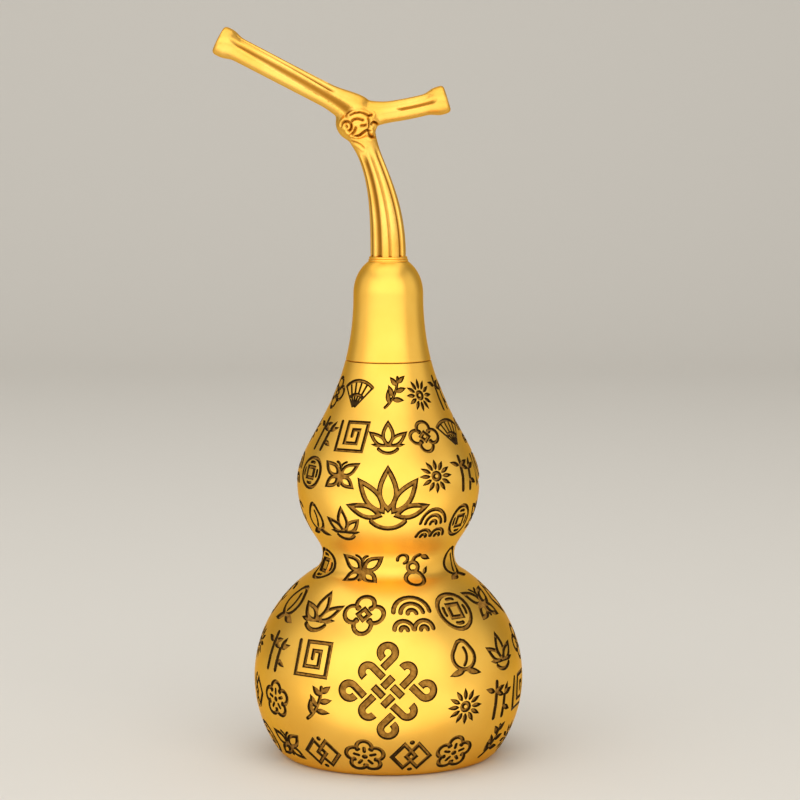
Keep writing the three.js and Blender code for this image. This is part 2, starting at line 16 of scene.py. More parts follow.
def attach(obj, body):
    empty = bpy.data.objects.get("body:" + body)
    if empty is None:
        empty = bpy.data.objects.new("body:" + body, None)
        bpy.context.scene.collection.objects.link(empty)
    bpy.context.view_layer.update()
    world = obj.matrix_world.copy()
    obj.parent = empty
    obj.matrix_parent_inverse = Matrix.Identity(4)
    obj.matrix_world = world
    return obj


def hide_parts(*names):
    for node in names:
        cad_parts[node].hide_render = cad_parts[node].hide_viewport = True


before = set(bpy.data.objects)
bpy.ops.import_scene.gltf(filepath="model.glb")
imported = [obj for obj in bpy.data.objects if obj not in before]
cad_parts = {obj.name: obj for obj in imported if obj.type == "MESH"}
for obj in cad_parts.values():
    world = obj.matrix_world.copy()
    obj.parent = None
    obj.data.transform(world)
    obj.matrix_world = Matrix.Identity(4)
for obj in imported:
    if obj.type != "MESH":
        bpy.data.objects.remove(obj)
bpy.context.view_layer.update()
scene = bpy.context.scene

MM = 0.001

# Outline of the gourd, the same as the solids have it
FOOT_R = 40.5
FOOT_EDGE = 6.5
BULB_R = 54.4
BULB_HALF = 52.0
BULB_Z = 31.8
WAIST_R = 26.6
WAIST_Z = 82.4
WAIST_FILLET = 3.7
UPPER_R = 36.8
UPPER_Z = 112.1
SEAM_Z = 160.3
SEAM_GAP = 0.3
SEAM_CHAMFER = 0.25
NECK_R = 14.0
NECK_Z = 187.0
LID_TOP_R = 8.2
LID_TOP_Z = 199.8

# How its curves leave and reach their ends, as shares of the stretch that they cross
FILLET_FULLNESS = 0.9
WAIST_RISE = 0.21
UPPER_DROP = 0.63
UPPER_RISE = 0.22
NECK_DROP = 0.59
LID_SIDE_RISE = 0.47
LID_TOP_REACH = 0.55
LID_TOP_DROP = 0.19

# Walls and the screw joint
BODY_WALL = 3.0
FOOT_WALL = 4.6
HOLLOW_RISE = 2.0
PLATE_R = 34.0
PLATE_T = 2.4
PLATE_CHAMFER = 0.4
PLATE_LEDGE = 3.0
SOCKET_TOP = 168.6
SOCKET_WALL = 2.4
MOUTH_BOTTOM = 147.8
SCREW_GAP = 0.3
SEAL_W = 1.7
SEAL_LOW = 158.9
SEAL_T = 1.5
SEAL_CHAMFER = 0.35
PLUG_WALL = 2.0
PLUG_BOTTOM = 150.8
PLUG_LEAD_W = 0.4
PLUG_LEAD_T = 0.5
THREAD_PITCH = 2.5
THREAD_DEPTH = 0.75
THREAD_START = 1.1
THREAD_TURNS = 2.2
THREAD_STOP = 1.6
THREAD_RUNOUT = 0.8
RIDGE_SINK = 0.2
RIDGE_CUT = 0.05
RIDGE_CREST_HALF = 0.2
RIDGE_ROOT_HALF = 0.95
SEAT_GAP = 0.2
LID_WALL = 3.0
LID_HOLLOW_CLEAR = 1.0
CROWN_UNDER = 195.4
CROWN_UNDER_R = 7.0
BOLT_HOLE_R = 3.2

# Vine stem, from the middle of its foot
STEM_Z = 202.2
COLLAR_R = 8.0
COLLAR_LOW = 200.0
COLLAR_T = 2.0
COLLAR_BEAD = 0.5
COLLAR_STEP = 0.3
COLLAR_SINK = 0.15
COLLAR_SPREAD = 0.12
STEM_FOOT_R = 7.2
STEM_NECK_R = 4.7
KNOT = Vector((-12.6, 0, 53))
KNOT_HALF = Vector((8.4, 7.6, 7.8))
LONG_END = Vector((-66.4, 0, 85.4))
LONG_R = 4.8
LONG_LIP = 6.1
SHORT_END = Vector((22.4, 0, 62.2))
SHORT_R = 4.3
SHORT_LIP = 5.7
ROOT_SWELL = 1.6
ROOT_LENGTH = 14.0
LIP_LENGTH = 8.0
LIP_BEAD = 2.5
END_ROUND = 1.4
DISH = 0.7

# Handles of the trunk, as shares of the way to the knot, and its length, rounded
TRUNK_LOW = 0.45
TRUNK_SIDE = 0.45
TRUNK_HIGH = 0.68
TRUNK_LENGTH = 56

# Where the arms leave the knot, as shares of its half height, and the short arm's climb in its first half
LONG_ROOT = 0.6
SHORT_ROOT = 0.4
SHORT_CLIMB = 0.1

# Cut end of an arm: its rounding as shares of END_ROUND, and the bottom of its dish as a share of the lip
CUT_AHEAD = 0.6
CUT_INWARD = 0.2
DISH_SHARE = 0.4

# Steps and sides of curves
SIDES = 144
PLUG_SIDES = 96
THREAD_STEPS = 48
BRANCH_SIDES = 36
BRANCH_STEPS = 60
BALL_SIDES = 32
BALL_ROWS = 20
EDGE_STEPS = 10
BULB_STEPS = 80
FILLET_STEPS = 16
UPPER_STEPS = 30
NECK_STEPS = 90
CROWN_STEPS = 24
LEAF_STEPS = 8
CAP_STEPS = 4
DOT_SIDES = 10
MARK_STEPS = 10
WALL_THINNING = 3

# Fineness of surfaces
ROW_STEP = 2.2
NORMAL_STEP = 0.4
END_CLEAR = 0.05
GRID_CLEAR = 0.6
CUT_TOLERANCE = 1e-5
MERGE = 0.002
BODY_MERGE = 0.004
REFERENCE_R = 40.0
BACK = math.pi * REFERENCE_R

# Recessed ornament, and limits of the body's outside: depth under the outline, rim, faces that look down
RECESS_DEPTH = 0.9
RECESS_DRAFT = 0.44
SKIN = 1.6
RIM_CLEAR = 0.02
LOOKS_DOWN = -0.99

# The body's materials by number: its surface, the floors of the recesses and their walls. The walls are
# coloured near black: patina, with painted shade of the recesses' corners added to it.
SURFACE, FLOOR, WALL = 0, 1, 2


def blend(ends, share):
    """A value between two ends."""
    return ends[0] + (ends[1] - ends[0]) * share


def smoothstep(x, low, high):
    """From 0 to 1 between two limits, level at both."""
    t = min(max((x - low) / (high - low), 0), 1)
    return t * t * (3 - 2 * t)


def on_circle(angle):
    """(x, y) of a point on the unit circle, at an angle in degrees."""
    return math.cos(math.radians(angle)), math.sin(math.radians(angle))


def tree_of(points):
    """A tree of points, to find the nearest one."""
    tree = kdtree.KDTree(len(points))
    for i, p in enumerate(points):
        tree.insert(p.to_3d(), i)
    tree.balance()
    return tree


# Outline of the gourd


def cubic(a, b, c, d, count):
    """Points of a cubic curve through (radius, height) handles, without the last one."""
    return [tuple(p) for p in interpolate_bezier(Vector(a), Vector(b), Vector(c), Vector(d), count + 1)[:-1]]


def foot_edge(count):
    """The rounded edge of the foot: a parabola, whose handles go two thirds of the way to its corner."""
    top = BULB_R * math.sqrt(1 - ((FOOT_EDGE - BULB_Z) / BULB_HALF) ** 2)
    slope = (BULB_Z - FOOT_EDGE) / top * (BULB_R / BULB_HALF) ** 2
    corner = Vector((top - FOOT_EDGE * slope, 0))
    start, end = Vector((FOOT_R, 0)), Vector((top, FOOT_EDGE))
    return cubic(start, start.lerp(corner, 2 / 3), end.lerp(corner, 2 / 3), end, count), end


def gourd_outline():
    """(radius, height) points up the outside, from the edge of the foot to the top of the lid."""
    edge, bulb_start = foot_edge(EDGE_STEPS)
    shoulder_r = WAIST_R + WAIST_FILLET
    low = math.atan2((bulb_start.y - BULB_Z) / BULB_HALF, bulb_start.x / BULB_R)
    high = math.acos(shoulder_r / BULB_R)
    bulb = [low + (high - low) * i / BULB_STEPS for i in range(BULB_STEPS)]
    shoulder = Vector((shoulder_r, BULB_Z + BULB_HALF * math.sin(high)))
    along = Vector((-BULB_R * math.sin(high), BULB_HALF * math.cos(high))).normalized()
    reach = (WAIST_Z - shoulder.y) / 2
    rise = UPPER_Z - WAIST_Z
    sweep = NECK_Z - UPPER_Z
    crown = LID_TOP_Z - NECK_Z
    waist, upper, neck, top = (WAIST_R, WAIST_Z), (UPPER_R, UPPER_Z), (NECK_R, NECK_Z), (LID_TOP_R, LID_TOP_Z)
    into_waist = shoulder + along * reach * FILLET_FULLNESS
    over_lid = (LID_TOP_R + LID_TOP_REACH * (NECK_R - LID_TOP_R), LID_TOP_Z - LID_TOP_DROP * crown)
    above_waist = (WAIST_R, WAIST_Z + WAIST_RISE * rise)
    under_upper = (UPPER_R, UPPER_Z - UPPER_DROP * rise)
    above_upper = (UPPER_R, UPPER_Z + UPPER_RISE * sweep)
    under_neck = (NECK_R, NECK_Z - NECK_DROP * sweep)
    above_neck = (NECK_R, NECK_Z + LID_SIDE_RISE * crown)
    return (
        edge
        + [(BULB_R * math.cos(a), BULB_Z + BULB_HALF * math.sin(a)) for a in bulb]
        + cubic(shoulder, into_waist, (WAIST_R, WAIST_Z - reach), waist, FILLET_STEPS)
        + cubic(waist, above_waist, under_upper, upper, UPPER_STEPS)
        + cubic(upper, above_upper, under_neck, neck, NECK_STEPS)
        + cubic(neck, above_neck, over_lid, top, CROWN_STEPS)
        + [top]
    )


OUTLINE = gourd_outline()
RADII = [r for r, _ in OUTLINE]
HEIGHTS = [z for _, z in OUTLINE]
LENGTHS = [0.0]
for (r0, z0), (r1, z1) in zip(OUTLINE, OUTLINE[1:]):
    LENGTHS.append(LENGTHS[-1] + math.hypot(r1 - r0, z1 - z0))


def between(keys, values, key):
    """A value read off between the two nearest keys."""
    i = min(max(bisect_right(keys, key) - 1, 0), len(keys) - 2)
    t = (key - keys[i]) / (keys[i + 1] - keys[i])
    return values[i] + (values[i + 1] - values[i]) * t


def radius_at(z):
    return between(HEIGHTS, RADII, z)


def length_at(z):
    return between(HEIGHTS, LENGTHS, z)


SOCKET_R = radius_at(SOCKET_TOP) - SOCKET_WALL
PLUG_R = SOCKET_R - SEAT_GAP
PLUG_BORE_R = PLUG_R - PLUG_WALL
MOUTH_R = PLUG_R + SCREW_GAP
SEAL_R = MOUTH_R + SEAL_W


def outward_at(z):
    """(radial, upward) parts of the outside's normal at a height."""
    above, below = min(z + NORMAL_STEP, LID_TOP_Z), max(z - NORMAL_STEP, 0)
    return Vector((above - below, radius_at(below) - radius_at(above))).normalized()


def on_gourd(angle, length):
    """The point of the outside at an angle and a length along the outline."""
    r, z = between(LENGTHS, RADII, length), between(LENGTHS, HEIGHTS, length)
    return Vector((r * math.sin(angle), -r * math.cos(angle), z))


def outline_between(low, high):
    """The outline from one height to another, both ends included."""
    inner = [(r, z) for r, z in OUTLINE if low + END_CLEAR < z < high - END_CLEAR]
    return [(radius_at(low), low)] + inner + [(radius_at(high), high)]


def inset(outline, distance):
    """An open outline moved inwards, square to itself."""
    moved = []
    for i, (r, z) in enumerate(outline):
        before, after = outline[max(i - 1, 0)], outline[min(i + 1, len(outline) - 1)]
        along = Vector((after[0] - before[0], after[1] - before[1])).normalized()
        moved.append((r - along.y * distance, z + along.x * distance))
    return moved


# Ornament: bands and leaves drawn flat, with x to the right and y up, in a square from -1 to 1

MITRE_LIMIT = 0.6
LEAF_BELLY = 0.8


def arc(x, y, radius, start, end, count):
    """Points round a centre, between two angles in degrees."""
    angles = [math.radians(start + (end - start) * i / count) for i in range(count + 1)]
    return [Vector((x + radius * math.cos(a), y + radius * math.sin(a))) for a in angles]


def spiral(x, y, inner, outer, start, end, count):
    """Points round a centre, at a radius that grows evenly."""
    points = []
    for i in range(count + 1):
        a = math.radians(start + (end - start) * i / count)
        radius = inner + (outer - inner) * i / count
        points.append(Vector((x + radius * math.cos(a), y + radius * math.sin(a))))
    return points


def line(*points):
    return [Vector(p) for p in points]


def sides_of(points, width, closed):
    """Left and right edges of a band along points, with mitred corners."""
    left, right = [], []
    count = len(points)
    for i, p in enumerate(points):
        if closed:
            before, after = points[i - 1], points[(i + 1) % count]
        else:
            before, after = points[max(i - 1, 0)], points[min(i + 1, count - 1)]
        into = (p - before).normalized() if p != before else (after - p).normalized()
        out = (after - p).normalized() if p != after else into
        normal = Vector((-(into.y + out.y), into.x + out.x)).normalized()
        slant = max(normal.dot(Vector((-into.y, into.x))), MITRE_LIMIT)
        left.append(p + normal * (width / 2 / slant))
        right.append(p - normal * (width / 2 / slant))
    return left, right


def band(points, width, butt=False):
    """An open stroke of one width, with round ends unless butt."""
    left, right = sides_of(points, width, False)
    if butt:
        return [(left + right[::-1], 1)]
    ends = []
    for tip, side in ((points[-1], left[-1]), (points[0], right[0])):
        spoke = side - tip
        turns = [Matrix.Rotation(-math.pi * k / CAP_STEPS, 2) for k in range(1, CAP_STEPS)]
        ends.append([tip + turn @ spoke for turn in turns])
    return [(left + ends[0] + right[::-1] + ends[1], 1)]


def loop(points, width):
    """A closed stroke: an outer edge to cut, and an inner edge that stays."""
    left, right = sides_of(points, width, True)
    reach = [sum(p.length for p in side) for side in (left, right)]
    outer, inner = (left, right) if reach[0] > reach[1] else (right, left)
    return [(outer, 1), (inner, -1)]


def ring(x, y, radius, width, count=24):
    return loop(arc(x, y, radius, 0, 360, count)[:-1], width)


def dot(x, y, radius):
    return [(arc(x, y, radius, 0, 360, DOT_SIDES)[:-1], 1)]


def leaf(x, y, angle, length, width):
    """A solid pointed leaf from its foot."""
    along = Vector(on_circle(angle))
    across = Vector((-along.y, along.x))
    foot = Vector((x, y))
    shares = [i / LEAF_STEPS for i in range(LEAF_STEPS + 1)]
    rib = [foot + along * (length * t) for t in shares]
    out = [across * (width / 2 * math.sin(math.pi * t ** LEAF_BELLY)) for t in shares]
    left = [p + q for p, q in zip(rib, out)]
    right = [p - q for p, q in zip(rib, out)]
    return [(left + right[-2:0:-1], 1)]


def petal(x, y, angle, length, width, stroke):
    """A hollow petal from its foot, drawn with one closed stroke."""
    (outer, _), = leaf(x, y, angle, length, width)
    return loop(outer, stroke)


def plum_blossom(w):
    parts = dot(0, 0, 0.15)
    for k in range(5):
        turn = 90 + 72 * k
        c, s = on_circle(turn)
        parts += band(arc(0.55 * c, 0.55 * s, 0.37, turn - 112, turn + 112, 14), w)
        parts += band(line((0.3 * c, 0.3 * s), (0.52 * c, 0.52 * s)), 0.8 * w)
    return parts


def key_fret(w):
    outer = ((-0.86, 0.86), (-0.86, -0.86), (0.86, -0.86), (0.86, 0.86), (-0.36, 0.86))
    inner = ((-0.36, -0.4), (0.42, -0.4), (0.42, 0.42), (0.04, 0.42), (0.04, 0.02))
    return band(line(*outer, *inner), w)


def coin(w):
    parts = ring(0, 0, 0.86, w) + loop(line((-0.3, -0.3), (0.3, -0.3), (0.3, 0.3), (-0.3, 0.3)), w)
    for turn in (0, 90, 180, 270):
        parts += band(arc(0, 0, 0.6, turn - 17, turn + 17, 4), 0.8 * w)
    return parts


def twin_lozenge(w):
    parts = []
    for x in (-0.34, 0.34):
        parts += loop(line((x - 0.56, 0), (x, -0.72), (x + 0.56, 0), (x, 0.72)), w)
    return parts + dot(0, 0.84, 0.13) + dot(0, -0.84, 0.13)


def quatrefoil(w):
    parts = loop(line((0.26, 0), (0, 0.26), (-0.26, 0), (0, -0.26)), w)
    for turn in (0, 90, 180, 270):
        c, s = on_circle(turn)
        parts += band(arc(0.5 * c, 0.5 * s, 0.4, turn - 128, turn + 128, 18), w)
    return parts


def lotus_bloom(w, petals, foot):
    """Open petals on a curved base. Each petal has its angle, length and width."""
    parts = band(arc(0, -0.2, 0.72, 222, 318, 10), w)
    for angle, length, width in petals:
        c, s = on_circle(angle)
        parts += petal(foot * c, foot * s - 0.56, angle, length, width, w)
    return parts


def lotus(w):
    bloom = lotus_bloom(w, ((90, 1.3, 0.56), (40, 1.12, 0.46), (140, 1.12, 0.46)), 0.16)
    return bloom + leaf(-0.3, -0.5, 172, 0.7, 0.24) + leaf(0.3, -0.5, 8, 0.7, 0.24)


def large_lotus(w):
    petals = ((90, 1.3, 0.54), (53, 1.2, 0.44), (127, 1.2, 0.44), (17, 1.02, 0.36), (163, 1.02, 0.36))
    return lotus_bloom(w, petals, 0.3)


def leaf_sprig(w):
    stalk = arc(-1.5, 1.0, 2.1, -52, 2, 12)
    parts = band(stalk, 0.9 * w)
    for i, (k, turn) in enumerate(((2, 95), (4, -5), (5, 115), (7, 15), (9, 130), (10, 40))):
        length = 0.86 - 0.04 * i
        parts += leaf(stalk[k].x, stalk[k].y, turn, length, 0.34)
    return parts


def small_gourd(w):
    parts = ring(-0.05, -0.44, 0.44, w) + ring(-0.05, 0.22, 0.25, w, 16)
    parts += band(arc(0.3, 0.5, 0.34, 180, 95, 6), w)
    parts += leaf(0.3, 0.82, -25, 0.62, 0.3) + band(arc(-0.55, 0.66, 0.24, -70, 195, 12), 0.8 * w)
    return parts + leaf(0.44, -0.2, 60, 0.5, 0.22)


def peach(w):
    count = 28
    rim = []
    for i in range(count):
        a = math.radians(360 * i / count)
        radius = 0.62 + 0.26 * max(math.cos(a - math.pi / 2), 0) ** 8
        rim.append(Vector((radius * math.cos(a), radius * math.sin(a) + 0.08)))
    crease = band(arc(-0.62, 0.2, 0.78, -42, 28, 8), 0.8 * w)
    return loop(rim, w) + crease + leaf(0, -0.56, -164, 0.95, 0.36) + leaf(0, -0.56, -16, 0.95, 0.36)


def open_fan(w):
    parts = band(arc(0, -0.78, 1.62, 50, 130, 14), w) + band(arc(0, -0.78, 0.82, 52, 128, 10), w)
    for turn in range(50, 131, 16):
        c, s = on_circle(turn)
        parts += band(line((0.16 * c, 0.16 * s - 0.78), (1.62 * c, 1.62 * s - 0.78)), 0.7 * w)
    return parts


def wave_scallops(w):
    hills = ((0, 0.02, (0.84, 0.52, 0.2)), (-0.46, -0.74, (0.44, 0.16)), (0.46, -0.74, (0.44, 0.16)))
    parts = []
    for x, y, radii in hills:
        for radius in radii:
            parts += band(arc(x, y, radius, 6, 174, 12), w)
    return parts


def butterfly(w):
    parts = band(line((0, -0.5), (0, 0.36)), 1.1 * w)
    for side in (-1, 1):
        parts += petal(0.12 * side, 0.1, 90 - 52 * side, 1.0, 0.52, w)
        parts += petal(0.12 * side, -0.08, -90 + 52 * side, 0.8, 0.44, w)
        parts += band(arc(0.42 * side, 0.42, 0.42, 90 + 85 * side, 90 + 20 * side, 6), 0.7 * w)
    return parts


def cloud_scroll(w):
    parts = band(arc(0, 0.3, 0.52, -20, 200, 16), w) + band(arc(0, 0.3, 0.22, -40, 220, 10), w)
    for side in (-1, 1):
        curl = spiral(0.5, -0.28, 0.08, 0.42, 200, -250, 24)
        parts += band([Vector((p.x * side, p.y)) for p in curl], w)
    return parts + band(line((-0.7, -0.86), (0.7, -0.86)), w)


def chrysanthemum(w):
    parts = ring(0, 0, 0.2, w, 14)
    for k in range(12):
        c, s = on_circle(30 * k)
        parts += leaf(0.34 * c, 0.34 * s, 30 * k, 0.64, 0.25)
    return parts


def bamboo(w):
    canes = (
        (-0.4, -0.95, -0.3), (-0.36, -0.2, 0.4), (-0.3, 0.5, 0.95),
        (0.3, -0.95, -0.45), (0.34, -0.35, 0.15),
    )
    leaves = (
        (-0.3, 0.46, 20), (-0.32, 0.44, -22), (-0.42, 0.45, 160),
        (0.36, 0.2, 62), (0.38, 0.2, 22), (0.32, -0.4, -25),
    )
    parts = []
    for x, low, high in canes:
        parts += band(line((x, low), (x + 0.03, high)), 1.2 * w)
    for x, y, turn in leaves:
        parts += leaf(x, y, turn, 0.72, 0.3)
    return parts


SMALL_FIGURES = (
    plum_blossom, key_fret, lotus, coin, leaf_sprig, cloud_scroll, quatrefoil, butterfly,
    chrysanthemum, small_gourd, open_fan, twin_lozenge, bamboo, peach, wave_scallops,
)


def large_knot(w):
    """A woven endless knot on its corner, four tracks each way. A band stops on each side of one above it."""
    pitch, bend, gap, outermost = 0.27, 0.15, 0.045, 1.5
    far = outermost * pitch
    tracks = [(i - outermost) * pitch for i in range(4)]
    clear = w / 2 + gap
    strokes = []
    for quarter in range(4):
        spin = Matrix.Rotation(quarter * math.pi / 2, 2)
        corner = arc(-far - bend, far + bend, bend, 0, 270, 20)
        corner_path = [Vector((-far, tracks[2] + clear))] + corner + [Vector((-far - clear, far))]
        side = arc(0, far + bend, pitch / 2, 0, 180, 14)
        side_path = [Vector((tracks[2], tracks[2] + clear))] + side + [Vector((tracks[1], far + clear))]
        strokes += [[spin @ p for p in corner_path], [spin @ p for p in side_path]]
        strokes.append([spin @ p for p in line((tracks[1], tracks[1] + clear), (tracks[1], far - clear))])
    tilt = Matrix.Rotation(math.pi / 4, 2)
    parts = []
    for stroke in strokes:
        parts += band([tilt @ p for p in stroke], w, butt=True)
    return parts


# Rows of ornament: lowest and highest edge, number of figures round the gourd, and degrees left free on each
# side of the front
ORNAMENT_ROWS = (
    (141.4, 154.6, 10, 0),
    (126.2, 138.6, 12, 0),
    (110.4, 124.0, 12, 32),
    (91.4, 105.4, 13, 31),
    (73.4, 86.2, 8, 22.5),
    (56.8, 71.0, 14, 12.9),
    (39.6, 54.2, 13, 35),
    (21.0, 36.2, 15, 34),
    (2.6, 16.8, 17, 10.6),
)
# Large figures at the front: height of the middle, half size and stroke
LARGE_FIGURES = ((large_lotus, 108.2, 12.4, 2.1), (large_knot, 36.4, 19.4, 3.1))
# Size of the small figures, as shares of the row's height and of the room for one figure
STROKE_SHARE = 0.108
WIDTH_SHARE = 1.1
ROOM_SHARE = 0.46
# Places in the list of figures from one to the next and from row to row
NEXT_FIGURE = 4
NEXT_ROW = 3


def ornament_places():
    """(figure, angle, length along the outline, half width, half height, stroke) of each figure."""
    places = [(figure, 0.0, length_at(z), half, half, stroke) for figure, z, half, stroke in LARGE_FIGURES]
    turn = 0
    for row, (low, high, count, free) in enumerate(ORNAMENT_ROWS):
        bottom, top = length_at(low), length_at(high)
        middle, half = (bottom + top) / 2, (top - bottom) / 2
        start = math.radians(free)
        step = (2 * math.pi - 2 * start) / (count - 1) if free else 2 * math.pi / count
        room = step * between(LENGTHS, RADII, middle)
        half_width = min(half * WIDTH_SHARE, room * ROOM_SHARE)
        for k in range(count):
            angle = (start + k * step + math.pi) % (2 * math.pi) - math.pi
            turn += 1
            figure = SMALL_FIGURES[(turn * NEXT_FIGURE + row * NEXT_ROW) % len(SMALL_FIGURES)]
            places.append((figure, angle, middle, half_width, half, 2 * half * STROKE_SHARE))
    return places


def ornament_polygons():
    """Every stroke as a polygon on the unrolled gourd, with its weight."""
    polygons = []
    for figure, angle, middle, half_width, half, stroke in ornament_places():
        for points, weight in figure(stroke / half):
            unrolled = []
            for p in points:
                length = middle + p.y * half
                r = between(LENGTHS, RADII, length)
                unrolled.append(Vector(((angle + p.x * half_width / r) * REFERENCE_R, length)))
            turned_over = sum(a.cross(b) for a, b in zip(unrolled, unrolled[1:] + unrolled[:1])) < 0
            polygons.append((unrolled[::-1] if turned_over else unrolled, weight))
    across = [(points, weight) for points, weight in polygons if any(abs(p.x) > BACK for p in points)]
    for points, weight in across:
        shift = Vector((-2 * BACK if points[0].x > 0 else 2 * BACK, 0))
        polygons.append(([p + shift for p in points], weight))
    return polygons


# Building pieces


def spun(outline, sides=SIDES, closed=True):
    """A solid turned about Z from (radius, height) points. An open outline starts and ends on the axis."""
    bm = bmesh.new()
    verts = [bm.verts.new((0, -r, z)) for r, z in outline]
    pairs = list(zip(verts, verts[1:])) + ([(verts[-1], verts[0])] if closed else [])
    edges = [bm.edges.new(pair) for pair in pairs]
    bmesh.ops.spin(bm, geom=verts + edges, axis=(0, 0, 1), angle=2 * math.pi, steps=sides, use_merge=True)
    bmesh.ops.remove_doubles(bm, verts=bm.verts, dist=MERGE)
    bmesh.ops.recalc_face_normals(bm, faces=bm.faces)
    return bm


def add_object(name, data):
    """A new object in the scene."""
    made = bpy.data.objects.new(name, data)
    scene.collection.objects.link(made)
    return made


def mesh_of(name, bm):
    """A new mesh of a finished bmesh."""
    mesh = bpy.data.meshes.new(name)
    bm.to_mesh(mesh)
    bm.free()
    return mesh


def set_down(name, bm, materials, body, node, sharp=35):
    """Makes a finished piece of a mesh in millimetres. It rides on a body and stands for a node."""
    bmesh.ops.scale(bm, vec=(MM, MM, MM), verts=bm.verts)
    mesh = mesh_of(name, bm)
    mesh.polygons.foreach_set("use_smooth", [True] * len(mesh.polygons))
    mesh.set_sharp_from_angle(angle=math.radians(sharp))
    for material in materials:
        mesh.materials.append(material)
    piece = add_object(name, mesh)
    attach(piece, body)
    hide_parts(node)
    return piece


def recessed_outside():
    """The outside of the body: unrolled, cut up along the ornament, rolled back and recessed."""
    high = length_at(SEAM_Z - SEAM_CHAMFER)
    polygons = ornament_polygons()
    near = tree_of([p for points, _ in polygons for p in points])
    rows = round(high / ROW_STEP)
    flat, seams = [], ([], [])
    for j in range(rows + 1):
        for i in range(SIDES + 1):
            p = Vector((BACK * (2 * i / SIDES - 1), high * j / rows))
            on_edge = i in (0, SIDES) or j in (0, rows)
            if on_edge or near.find(p.to_3d())[2] > GRID_CLEAR:
                if i in (0, SIDES):
                    seams[i // SIDES].append(len(flat))
                flat.append(p)
    borders = [pair for seam in seams for pair in zip(seam, seam[1:])]
    faces, weights = [], []
    for points, weight in polygons:
        faces.append(list(range(len(flat), len(flat) + len(points))))
        weights.append(weight)
        flat.extend(points)
    keep_all = 0
    points, _, triangles, _, _, owners = delaunay_2d_cdt(flat, borders, faces, keep_all, CUT_TOLERANCE, True)

    bm = bmesh.new()
    placed = [bm.verts.new(on_gourd(p.x / REFERENCE_R, p.y)) for p in points]
    for triangle, inside in zip(triangles, owners):
        # What lies past the seam at the back is there a second time, at the other edge
        if abs(sum(points[i].x for i in triangle)) > 3 * BACK:
            continue
        face = bm.faces.new([placed[i] for i in triangle])
        face.material_index = FLOOR if sum(weights[i] for i in inside) > 0 else SURFACE
    bmesh.ops.delete(bm, geom=[v for v in bm.verts if not v.link_faces], context="VERTS")
    bmesh.ops.remove_doubles(bm, verts=bm.verts, dist=BODY_MERGE)
    bm.normal_update()
    recess = [f for f in bm.faces if f.material_index == FLOOR]
    walls = bmesh.ops.inset_region(
        bm, faces=recess, thickness=RECESS_DRAFT, depth=-RECESS_DEPTH,
        use_even_offset=True, use_boundary=True,
    )["faces"]
    for face in walls:
        face.material_index = WALL
    return bm


def body_piece(materials):
    """The hollow body: its recessed outside, with the rim, the hollow and the foot spun onto it."""
    bm = recessed_outside()
    outside = len(bm.faces)
    wall = inset(outline_between(FOOT_EDGE + HOLLOW_RISE, SEAM_Z), BODY_WALL)[::WALL_THINNING]
    hollow = [p for p in wall if FOOT_WALL + BODY_WALL / 2 < p[1] < MOUTH_BOTTOM - BODY_WALL]
    inner = [
        (radius_at(SEAM_Z - SEAM_CHAMFER), SEAM_Z - SEAM_CHAMFER),
        (radius_at(SEAM_Z) - SEAM_CHAMFER, SEAM_Z),
        (SEAL_R + SEAT_GAP, SEAM_Z),
        (SEAL_R + SEAT_GAP, SEAL_LOW - SEAT_GAP),
        (MOUTH_R, SEAL_LOW - SEAT_GAP),
        (MOUTH_R, MOUTH_BOTTOM),
        *hollow[::-1],
        (PLATE_R - PLATE_LEDGE, FOOT_WALL),
        (PLATE_R - PLATE_LEDGE, PLATE_T + SEAT_GAP),
        (PLATE_R, PLATE_T + SEAT_GAP),
        (PLATE_R, 0),
        (FOOT_R, 0),
    ]
    verts = [bm.verts.new((0, r, z)) for r, z in inner]
    edges = [bm.edges.new(pair) for pair in zip(verts, verts[1:])]
    bmesh.ops.spin(bm, geom=verts + edges, axis=(0, 0, 1), angle=2 * math.pi, steps=SIDES, use_merge=True)
    bm.faces.ensure_lookup_table()
    for face in bm.faces[outside:]:
        face.material_index = SURFACE
    bmesh.ops.remove_doubles(bm, verts=bm.verts, dist=BODY_MERGE)
    bmesh.ops.recalc_face_normals(bm, faces=bm.faces)
    piece = set_down("engraved_body", bm, materials, "bottle", "body_shell", sharp=28)
    smooth_outside(piece.data)


def smooth_outside(mesh):
    """Gives the gourd's outside, and the floors of its recesses, the exact normals of the turned form."""
    normals = [Vector((0, 0, 0))] * len(mesh.loops)
    for polygon in mesh.polygons:
        if polygon.material_index == WALL:
            continue
        for i in polygon.loop_indices:
            x, y, z = mesh.vertices[mesh.loops[i].vertex_index].co / MM
            radius = math.hypot(x, y)
            in_rim = z > SEAM_Z - SEAM_CHAMFER + RIM_CLEAR
            inside = radius < radius_at(max(z, 0)) - SKIN
            if in_rim or inside or polygon.normal.z < LOOKS_DOWN:
                continue
            radial, up = outward_at(z)
            normals[i] = Vector((x / radius * radial, y / radius * radial, up))
    mesh.normals_split_custom_set(normals)


def lid_piece(material):
    """The hollow lid, with the socket of the plug and the hole for the stud."""
    low = SEAM_Z + SEAM_GAP
    wall = inset(outline_between(low, LID_TOP_Z), LID_WALL)[::WALL_THINNING]
    hollow = [p for p in wall if SOCKET_TOP + LID_HOLLOW_CLEAR < p[1] < CROWN_UNDER - LID_HOLLOW_CLEAR]
    outline = [
        (SOCKET_R, low),
        (radius_at(low) - SEAM_CHAMFER, low),
        *outline_between(low + SEAM_CHAMFER, LID_TOP_Z),
        (BOLT_HOLE_R, LID_TOP_Z),
        (BOLT_HOLE_R, CROWN_UNDER),
        (CROWN_UNDER_R, CROWN_UNDER),
        *hollow[::-1],
        (PLUG_BORE_R, SOCKET_TOP),
        (SOCKET_R, SOCKET_TOP),
    ]
    set_down("smooth_lid", spun(outline), [material], "lid", "lid_shell", sharp=28)


